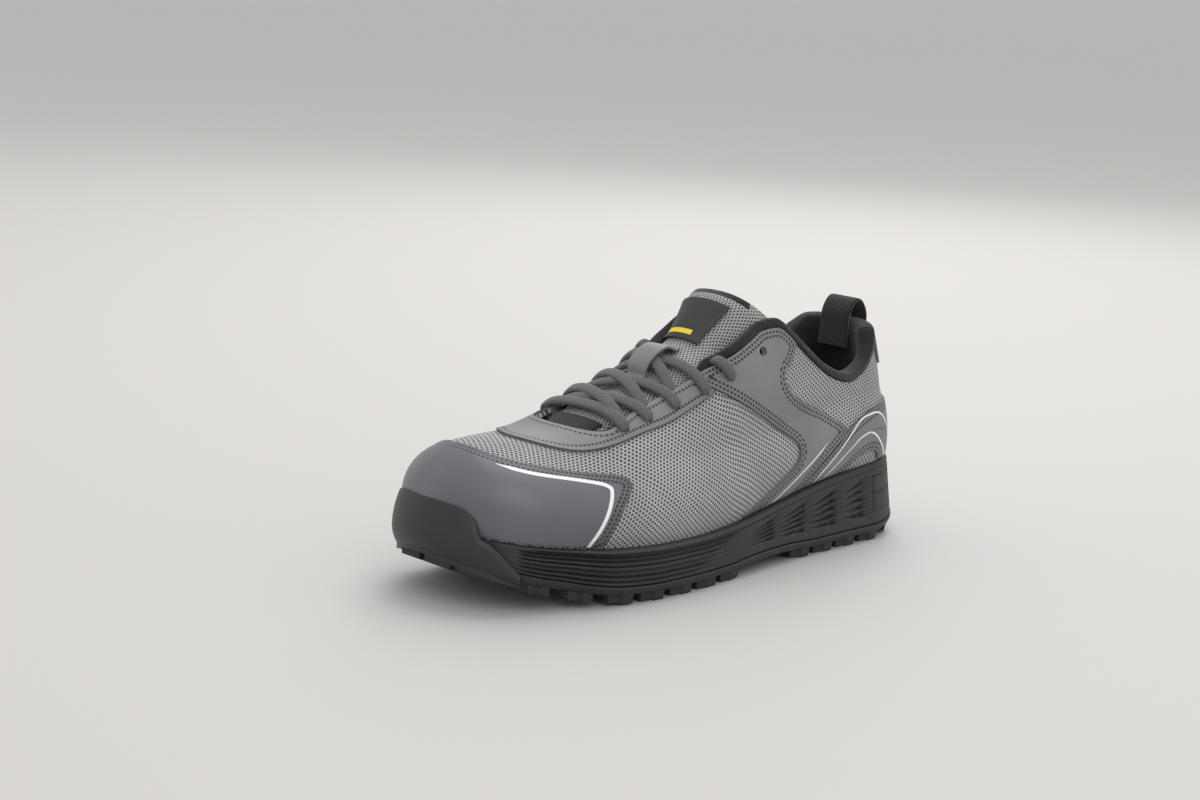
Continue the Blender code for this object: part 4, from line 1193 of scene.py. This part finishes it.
share = np.linspace(0, 1, bumperSizes["perSide"]) ** 1.9
bumperTrip = [(bumperSizes["rear"] * t, -1) for t in share[::-1]]
bumperTrip += [(bumperSizes["innerRear"] * t, 1) for t in share[1:]]
bumperInner, bumperOuter = (
    np.array(grid) for grid in zip(*[bumperColumn(a, s) for a, s in bumperTrip])
)
for grid in (bumperInner, bumperOuter):  # evens out the step where the rim is passed
    for _ in range(4):
        grid[:, 1:-1] = (grid[:, :-2] + 2 * grid[:, 1:-1] + grid[:, 2:]) / 4
        grid[1:-1] = (grid[:-2] + 2 * grid[1:-1] + grid[2:]) / 4


def closedShell(name, inner, outer, places=None):
    # one wall from two nets that share their rims
    outerSheet = gridPiece(name, outer, places)
    innerSheet = gridPiece(name + "Inner", inner[:, ::-1], places and [p[:, ::-1] for p in places])
    obj = joined([outerSheet, innerSheet])
    inEdit(
        obj, lambda: bpy.ops.mesh.select_mode(type="EDGE"), chooseRims, bpy.ops.mesh.bridge_edge_loops,
        lambda: bpy.ops.mesh.select_mode(type="VERT"), facesOut,
    )
    return obj


bumper = closedShell(
    "toeBumperRubber", bumperInner.transpose(1, 0, 2), bumperOuter.transpose(1, 0, 2)
)
sharpRound(bumper, bumperSizes["bevel"], 3)
finishPiece(bumper, ["toe_bumper"], rubber("bumper rubber", dict(rubberLook, roughness=0.42)), angle=50)
print("bumper done")

# ---- insole

insoleSizes = {"gap": 0.0006, "thick": 0.0040, "round": 0.0010}
insoleInset = last["inset"] + upperSizes["wall"] + insoleSizes["gap"]
insoleSteps = [  # inset and height
    (0.0, 0.0), (0.0, insoleSizes["thick"] - insoleSizes["round"]),
    (insoleSizes["round"], insoleSizes["thick"]),
]
insole = closedLoft("insolePad", [
    soleRing(
        soleTrip[::3],
        lambda a, i=i: a * 0 + insoleInset + i, lambda a, h=h: rimHeight(a) - last["cup"] + h,
    ) for i, h in insoleSteps
])
layer = insole.data.uv_layers[0]
index = np.empty(len(insole.data.loops), int)
insole.data.loops.foreach_get("vertex_index", index)
layer.data.foreach_set("uv", pointsOf(insole)[index][:, :2].reshape(-1))
finishPiece(insole, ["insole"], ribbedCloth("insole knit", blackKnit))

# ---- tongue, its label, keeper and throat tab

tongueRows = table("along height half drop", [
    (0.240, 0.500, 0.0120, 0.0020), (0.280, 0.550, 0.0150, 0.0030), (0.330, 0.612, 0.0190, 0.0060),
    (0.400, 0.680, 0.0205, 0.0105), (0.450, 0.742, 0.0205, 0.0130), (0.500, 0.811, 0.0207, 0.0160),
    (0.530, 0.880, 0.0212, 0.0185), (0.560, 0.955, 0.0228, 0.0185), (0.582, 1.010, 0.0250, 0.0160),
])
tongueSizes = {
    "front": 0.240, "top": 0.578, "rows": 90, "cols": 61, "thick": 0.0050, "puff": 0.0007,
    "curl": 0.0190, "pressAt": 0.515, "pressReach": 0.055,
}


def tongueLine(along):
    return np.array((float(place(along)), 0.0, float(through(tongueRows, "height", along)) * last["instep"]))


def tonguePoint(along, share):
    run = tongueLine(along + 0.004) - tongueLine(along - 0.004)
    run /= np.linalg.norm(run)
    behind = np.array((run[2], 0.0, -run[0]))
    turn = abs(share) * math.radians(84)
    # the outer side curls back at the head, and the pad holds both sides down beside the top eyelets
    broad = np.clip((along - 0.520) / 0.062, 0, 1) if share < 0 else 0.0
    pressed = max(0.0, 1 - abs(along - tongueSizes["pressAt"]) / tongueSizes["pressReach"])
    half = float(through(tongueRows, "half", along)) + 0.0015 * broad - 0.0034 * pressed
    drop = float(through(tongueRows, "drop", along)) + tongueSizes["curl"] * broad + 0.0030 * pressed
    point = tongueLine(along) + behind * (drop * (1 - math.cos(turn) ** 0.85))
    point[1] = float(outline(along, 1)[2]) + math.copysign(half * math.sin(turn) ** 0.85, share)
    return point


def tongueNet(first, past, rows, wide, cols):
    low, high = wide if isinstance(wide, tuple) else (-wide, wide)
    across = np.linspace(low, high, cols)
    return np.array([[tonguePoint(a, s) for s in across] for a in np.linspace(first, past, rows)])


def netPlaces(points):
    # true lengths across and along a small net
    across = np.linalg.norm(np.diff(points, axis=1), axis=2).cumsum(axis=1)
    along = np.linalg.norm(np.diff(points, axis=0), axis=2).cumsum(axis=0)
    u = np.concatenate([np.zeros((len(points), 1)), across], axis=1)
    v = np.concatenate([np.zeros((1, points.shape[1])), along], axis=0)
    return u - u[:, -1:] / 2, v


def upNormals(points):
    found = netNormals(points, False)
    return -found if found[:, :, 2].mean() < 0 else found


rows, cols = tongueSizes["rows"], tongueSizes["cols"]
tongueFace = tongueNet(tongueSizes["front"], tongueSizes["top"], rows, 1.0, cols)
tongueUp = upNormals(tongueFace)
rowsShare = np.linspace(0, 1, rows)[:, None]
colsShare = np.abs(np.linspace(-1, 1, cols))[None, :]
crown = np.sqrt(np.clip(1 - colsShare ** 4, 0, 1)) * np.clip(rowsShare / 0.1, 0, 1)
puff = tongueSizes["puff"] * crown - 0.0004
rimFall = 0.0022 * np.clip((rowsShare - 0.955) / 0.045, 0, 1) ** 2
rimFall = rimFall + 0.0012 * np.clip((colsShare - 0.93) / 0.07, 0, 1) ** 2
tongue = closedShell(
    "tonguePad",
    tongueFace + tongueUp * (rimFall * 0.5 - tongueSizes["thick"])[:, :, None],
    tongueFace + tongueUp * (puff - rimFall)[:, :, None],
    netPlaces(tongueFace),
)
finishPiece(tongue, ["tongue"], [
    meshCloth("tongue mesh", dict(meshLook, rowPitch=1.35, holePitch=1.9)),
    ribbedCloth("tongue lining", blackKnit),
])
netPoints = tongueFace.reshape(-1, 3)
for face in tongue.data.polygons:  # the back and the head's edge take the lining
    nearest = int(np.argmin(((netPoints - np.array(face.center)) ** 2).sum(axis=1)))
    row, col = divmod(nearest, cols)
    offMiddle = abs(col - cols // 2)
    head = row > rows - 4 and offMiddle < 16
    turned = face.normal.dot(Vector(tongueUp[row, col])) < (0.25 if offMiddle < 18 else -0.4)
    face.material_index = int(head or turned)


def tonguePatch(name, node, first, past, wide, low, high, material):
    face = tongueNet(first, past, 16, wide, 24)
    up = upNormals(face)
    obj = closedShell(name, face + up * low, face + up * high, netPlaces(face))
    sharpRound(obj, 0.0002)
    return finishPiece(obj, [node], material)


labelLook = {  # places up and across the label in millimetres
    "dark": (0.016, 0.016, 0.017), "pale": (0.026, 0.026, 0.027), "strip": (25.2, 26.6),
    "stripTone": (0.50, 0.50, 0.51), "bar": (3.2, 6.0), "barHalf": 7.5, "barTone": (0.80, 0.60, 0.02),
}


def labelFilm(look):
    # black patch with a pale strip at its head and a small yellow bar at its foot
    board = Board("label film", 0.55)
    u, v = (axis * 1000 for axis in board.cloth())
    grain = board.noise(board.here(), 1800.0, 2.0)
    colour = board.blend(grain.fade(0.3, 0.7), look["dark"], look["pale"])
    strip = (v > look["strip"][0]) * (v < look["strip"][1])
    bar = (v > look["bar"][0]) * (v < look["bar"][1]) * (abs(u) < look["barHalf"])
    colour = board.blend(strip, colour, look["stripTone"])
    colour = board.blend(bar, colour, look["barTone"])
    board.put("Base Color", colour)
    board.bump(grain * 0.4 + bar + strip, 0.0002)
    return board.material


tonguePatch(
    "tongueLabel", "tongue_label", 0.504, 0.560, (-0.36, 0.60), 0.0012, 0.0021, labelFilm(labelLook)
)

# the keeper is a strap fixed at both ends, with the laces running below its arch
keeperRise = table("along lift", [
    (0.408, 0.0006), (0.416, 0.0016), (0.424, 0.0052), (0.436, 0.0072), (0.450, 0.0078), (0.463, 0.0070),
    (0.474, 0.0040), (0.480, 0.0014), (0.488, 0.0006),
])
keeperFace = tongueNet(0.408, 0.488, 48, 0.15, 14)
keeperLift = through(keeperRise, "lift", np.linspace(0.408, 0.488, 48))[:, None, None]
keeperUp = upNormals(keeperFace)
keeperFace = keeperFace + keeperUp * keeperLift
keeperUp = upNormals(keeperFace)
keeper = closedShell("laceKeeper", keeperFace, keeperFace + keeperUp * 0.0012, netPlaces(keeperFace))
sharpRound(keeper, 0.0002)
finishPiece(keeper, ["lace_keeper"], film("keeper film", filmLook))
tonguePatch(
    "throatTab", "throat_tab", 0.248, 0.302, 0.72, 0.0006, 0.0016, ribbedCloth("tab webbing", webbing)
)
print("tongue done")

# ---- collar lining: pad that rolls over the collar's edge

padSizes = {
    "start": 0.466, "depth": 0.040, "columns": 170, "thin": 0.0008, "beside": 0.0026, "ankle": 0.0031,
    "foot": 0.0039, "gap": 0.0009,
}


def easeIn(value, first, reach):
    t = np.clip((value - first) / reach, 0, 1)
    return t * t * (3 - 2 * t)


def padThickness(along):
    # thin at its front end, thicker beside the tongue and again round the ankle
    beside, ankle = easeIn(along, padSizes["start"], 0.035), easeIn(along, 0.585, 0.12)
    return padSizes["thin"] + padSizes["beside"] * beside + padSizes["ankle"] * ankle


def padSection(along, side):
    edge = float(edgeHeight(along, side))
    here, facing = skinAt(along, side, edge)
    below, _ = skinAt(along, side, edge - 0.004)
    rise = (here - below) / np.linalg.norm(here - below)
    thick = float(padThickness(along))
    back = upperSizes["wall"] + thick
    roll = float(np.clip((along - padSizes["start"]) / 0.025, 0.15, 1))
    section = [here + facing * outward + rise * up for outward, up in (
        (0.0006, 0.0004), (0.0013 * roll, 0.0006 + 0.0022 * roll), (0.0004, 0.0008 + 0.0040 * roll),
        (-(upperSizes["wall"] + thick / 2), 0.0010 + 0.0046 * roll),
        (-back + 0.001, 0.0004 + 0.0028 * roll), (-back, -0.0004),
    )]
    depth = padSizes["depth"] * min(1.0, 0.25 + (along - padSizes["start"]) / 0.16)
    for outward, drop in (
        (-back - 0.0006, depth * 0.2), (-back - 0.0010, depth * 0.4),
        (-upperSizes["wall"] - thick * 0.9, depth * 0.7), (-upperSizes["wall"] - thick * 0.5, depth),
        (-padSizes["foot"], depth), (-padSizes["foot"], 0.016 if depth > 0.02 else depth * 0.5),
    ):
        deep, out = skinAt(along, side, edge - drop)
        section.append(deep + out * outward)
    section.append(here - facing * (upperSizes["wall"] + padSizes["gap"]) + rise * 0.0008)
    return np.array(section)


padLine = np.linspace(padSizes["start"], 1.0, padSizes["columns"] // 2)
padTrip = [(a, -1) for a in padLine] + [(a, 1) for a in padLine[-2::-1]]
padNet = np.array([padSection(a, s) for a, s in padTrip])
# each section becomes one smooth closed line
padNet = np.array([smoothThrough(np.vstack([each[-1:], each, each[:2]]), 4) for each in padNet])
padNet = np.concatenate([padNet, padNet[:, :1]], axis=1)
alongRun = np.r_[0, np.linalg.norm(np.diff(padNet[:, 14], axis=0), axis=1).cumsum()]
aroundRun = np.linalg.norm(np.diff(padNet, axis=1), axis=2).cumsum(axis=1)
aroundRun = np.concatenate([np.zeros((len(padNet), 1)), aroundRun], axis=1)
padPlaces = (np.repeat(alongRun[:, None], padNet.shape[1], axis=1), aroundRun)
lining = closeTube(gridPiece("collarPad", padNet, padPlaces))
finishPiece(lining, ["collar_lining"], ribbedCloth("lining knit", blackKnit), angle=60)
print("lining done")

# ---- laces and pull loop

laceSizes = {
    "width": 0.0056, "thick": 0.0029, "stand": 0.0036, "hug": 0.0042, "across": (1.0, 0.0, 0.62),
    "under": 0.0004, "over": 0.0022,
}


def smoothPath(points, count):
    return spread(curveThrough(points, 12), count)


def sweep(name, path, across, width, thick, sides=14, flat=2.6):
    # oval or flat band along a path; across says which way its width lies
    run = np.gradient(path, axis=0)
    run /= np.linalg.norm(run, axis=1, keepdims=True)
    across = np.tile(across, (len(path), 1))
    across = across - run * (across * run).sum(axis=1, keepdims=True)
    across /= np.linalg.norm(across, axis=1, keepdims=True)
    up = np.cross(run, across)
    angle = np.linspace(0, 2 * math.pi, sides + 1)
    c, s = np.cos(angle), np.sin(angle)
    u = np.sign(c) * np.abs(c) ** (2 / flat) * width / 2
    v = np.sign(s) * np.abs(s) ** (2 / flat) * thick / 2
    points = path[:, None] + across[:, None] * u[None, :, None] + up[:, None] * v[None, :, None]
    length = np.r_[0, np.linalg.norm(np.diff(path, axis=0), axis=1).cumsum()]
    girth = np.r_[0, np.hypot(np.diff(u), np.diff(v)).cumsum()]
    places = np.tile(girth, (len(path), 1)), np.repeat(length[:, None], sides + 1, axis=1)
    return closeTube(gridPiece(name, points, places))


def lacePath(low, high, side, crest, dives=True):
    # out of one eyelet, over the tongue, and under the other side's eyestay
    start, startUp = skinAt(low[0], side, low[1] * last["instep"])
    finish, finishUp = skinAt(high[0], -side, high[1] * last["instep"])
    inwards = np.array((0.0, float(-side), 0.0))
    middle = []
    reaches = []
    for (along, height), s in ((low, side), (high, -side)):
        here, _ = skinAt(along, s, height * last["instep"])
        _, edge, mid = outline(along, s, last["inset"])
        reaches.append(float((here[1] - mid) / abs(edge - mid)))
    for share in (0.10, 0.22, 0.36, 0.50, 0.64, 0.78, 0.90):
        along = low[0] + (high[0] - low[0]) * share
        reach = reaches[0] + (reaches[1] - reaches[0]) * share
        s = -1 if reach < 0 else 1
        here = skin(along, abs(reach), s)
        ahead = skin(along + 0.01, abs(reach), s) - here
        sideways = skin(along, abs(reach + 0.02), -1 if reach + 0.02 < 0 else 1) - here
        facing = np.cross(ahead, sideways)
        facing /= np.linalg.norm(facing)
        sink = 0.0 if share < 0.75 or not dives else (share - 0.75) * 0.016
        over = max(0.0, math.sin(math.pi * share)) ** 0.8
        middle.append(here + facing * (laceSizes["stand"] + (crest - laceSizes["hug"]) * over - sink))
    first = [start - startUp * 0.0050, start - startUp * 0.0010, start + startUp * 0.0026 + inwards * 0.0004]
    if dives:
        end = [finish - finishUp * 0.0028 - inwards * 0.004, finish - finishUp * 0.0045 + inwards * 0.002]
    else:
        end = [finish + finishUp * 0.0026 - inwards * 0.0004, finish - finishUp * 0.0010, finish - finishUp * 0.0050]
    return smoothPath([*first, *middle, *end], 64)


strands = [lacePath(eyelets[0], eyelets[0], -1, 0.0006, dives=False)]
for low, high in zip(eyelets[:3], eyelets[1:4]):  # each strand goes down to the pair in front
    strands += [lacePath(high, low, -1, laceSizes["under"]), lacePath(high, low, 1, laceSizes["over"])]
lacePieces = [
    sweep(f"lace{k}", path, laceSizes["across"], laceSizes["width"], laceSizes["thick"])
    for k, path in enumerate(strands)
]
for side in (-1, 1):  # the ends come over the edge and go down the top eyelets
    here, facing = skinAt(eyelets[4][0], side, eyelets[4][1] * last["instep"])
    edge, edgeUp = skinAt(eyelets[4][0] - 0.012, side, edgeHeight(eyelets[4][0] - 0.012, side))
    inwards = np.array((0.0, float(-side), 0.0))
    path = smoothPath([
        edge - edgeUp * 0.0055 + inwards * 0.004, edge + inwards * 0.0045 + edgeUp * 0.0005,
        edge + edgeUp * 0.0042 + inwards * 0.0012, (edge + here) / 2 + facing * 0.0046,
        here + facing * 0.0024 - inwards * 0.0004, here - facing * 0.0010, here - facing * 0.0055,
    ], 40)
    lacePieces.append(sweep(
        f"laceEnd{side}", path, laceSizes["across"], laceSizes["width"] * 0.95, laceSizes["thick"]
    ))
laces = joined(lacePieces)
laces.name = "lacesBraid"
finishPiece(laces, ["laces"], laceWeave("lace braid", laceLook), angle=60)

loopSizes = {"width": 0.018, "thick": 0.0018, "stand": 0.0030}
backEdge = float(edgeHeight(1.0, -1))
outside = [
    (float(skinAt(1.0, 1, backEdge - drop)[0][0]) + loopSizes["stand"], backEdge - drop)
    for drop in (0.018, 0.012, 0.006, 0.0)
]
edgeX = outside[-1][0]
innerX = edgeX - loopSizes["stand"] - upperSizes["wall"] - float(padThickness(1.0)) - 0.0017
loopLine = outside + [
    (edgeX, backEdge + 0.005), (edgeX - 0.0012, backEdge + 0.009), (edgeX - 0.0038, backEdge + 0.0125),
    ((edgeX + innerX) / 2, backEdge + 0.0138), (innerX + 0.0038, backEdge + 0.0125),
    (innerX + 0.0012, backEdge + 0.009), (innerX, backEdge + 0.005), (innerX - 0.0004, backEdge - 0.002), (innerX - 0.0012, backEdge - 0.010),
]
loopPath = smoothPath([(x, 0.0, z) for x, z in loopLine], 90)
loop = sweep(
    "pullLoop", loopPath, (0.0, 1.0, 0.0), loopSizes["width"], loopSizes["thick"], sides=36, flat=8.0
)
finishPiece(loop, ["pull_loop"], ribbedCloth("loop webbing", webbing), angle=50)
print("laces and loop done")

# ---- floor, light and camera

clearChoice()
bpy.ops.mesh.primitive_plane_add(size=90.0, location=(0, 0, 0))
floor = bpy.context.active_object
floor.name = "studioFloor"
paleFloor = Board("pale floor", 0.8)
paleFloor.put("Base Color", (0.56, 0.545, 0.535, 1.0))
floor.data.materials.append(paleFloor.material)

world = bpy.data.worlds.new("studio")
bpy.context.scene.world = world
world.use_nodes = True
world.node_tree.nodes["Background"].inputs[0].default_value = (1.0, 0.995, 0.985, 1.0)
world.node_tree.nodes["Background"].inputs[1].default_value = 0.80


def areaLight(name, spot, aim, size, power):
    data = bpy.data.lights.new(name, "AREA")
    data.shape = "RECTANGLE"
    data.size, data.size_y = size
    data.energy = power
    lamp = bpy.data.objects.new(name, data)
    bpy.context.scene.collection.objects.link(lamp)
    lamp.location = spot
    lamp.rotation_euler = (Vector(spot) - Vector(aim)).to_track_quat("Z", "Y").to_euler()


areaLight("key", (-0.9, -1.5, 1.5), (0, 0, 0.05), (1.6, 1.3), 9)
areaLight("top", (0.5, 0.2, 1.7), (0, 0, 0.05), (1.4, 1.4), 12)
areaLight("rim", (1.2, 0.9, 0.9), (0, 0, 0.08), (0.8, 0.8), 5)

shot = {
    "azimuth": -44.37, "elevation": 11.31, "roll": 3.0, "distance": 1.0763, "lens": 70.0,
    "target": (-0.0468, 0.0, 0.0819),
}
a, e, r = (math.radians(shot[key]) for key in ("azimuth", "elevation", "roll"))
back = Vector((math.sin(a) * math.cos(e), -math.cos(a) * math.cos(e), math.sin(e)))
right = Vector((math.cos(a), math.sin(a), 0.0))
up = back.cross(right)
camera = bpy.data.objects.new("camera", bpy.data.cameras.new("camera"))
bpy.context.scene.collection.objects.link(camera)
camera.data.lens, camera.data.sensor_width = shot["lens"], 36.0
camera.data.clip_start, camera.data.clip_end = 0.05, 200.0
sideways, upwards = right * math.cos(r) + up * math.sin(r), up * math.cos(r) - right * math.sin(r)
turned = Matrix((sideways, upwards, back)).transposed()
camera.matrix_world = Matrix.Translation(Vector(shot["target"]) + back * shot["distance"]) @ turned.to_4x4()
bpy.context.scene.camera = camera
bpy.context.scene.view_settings.view_transform = "Standard"

print("stage set")
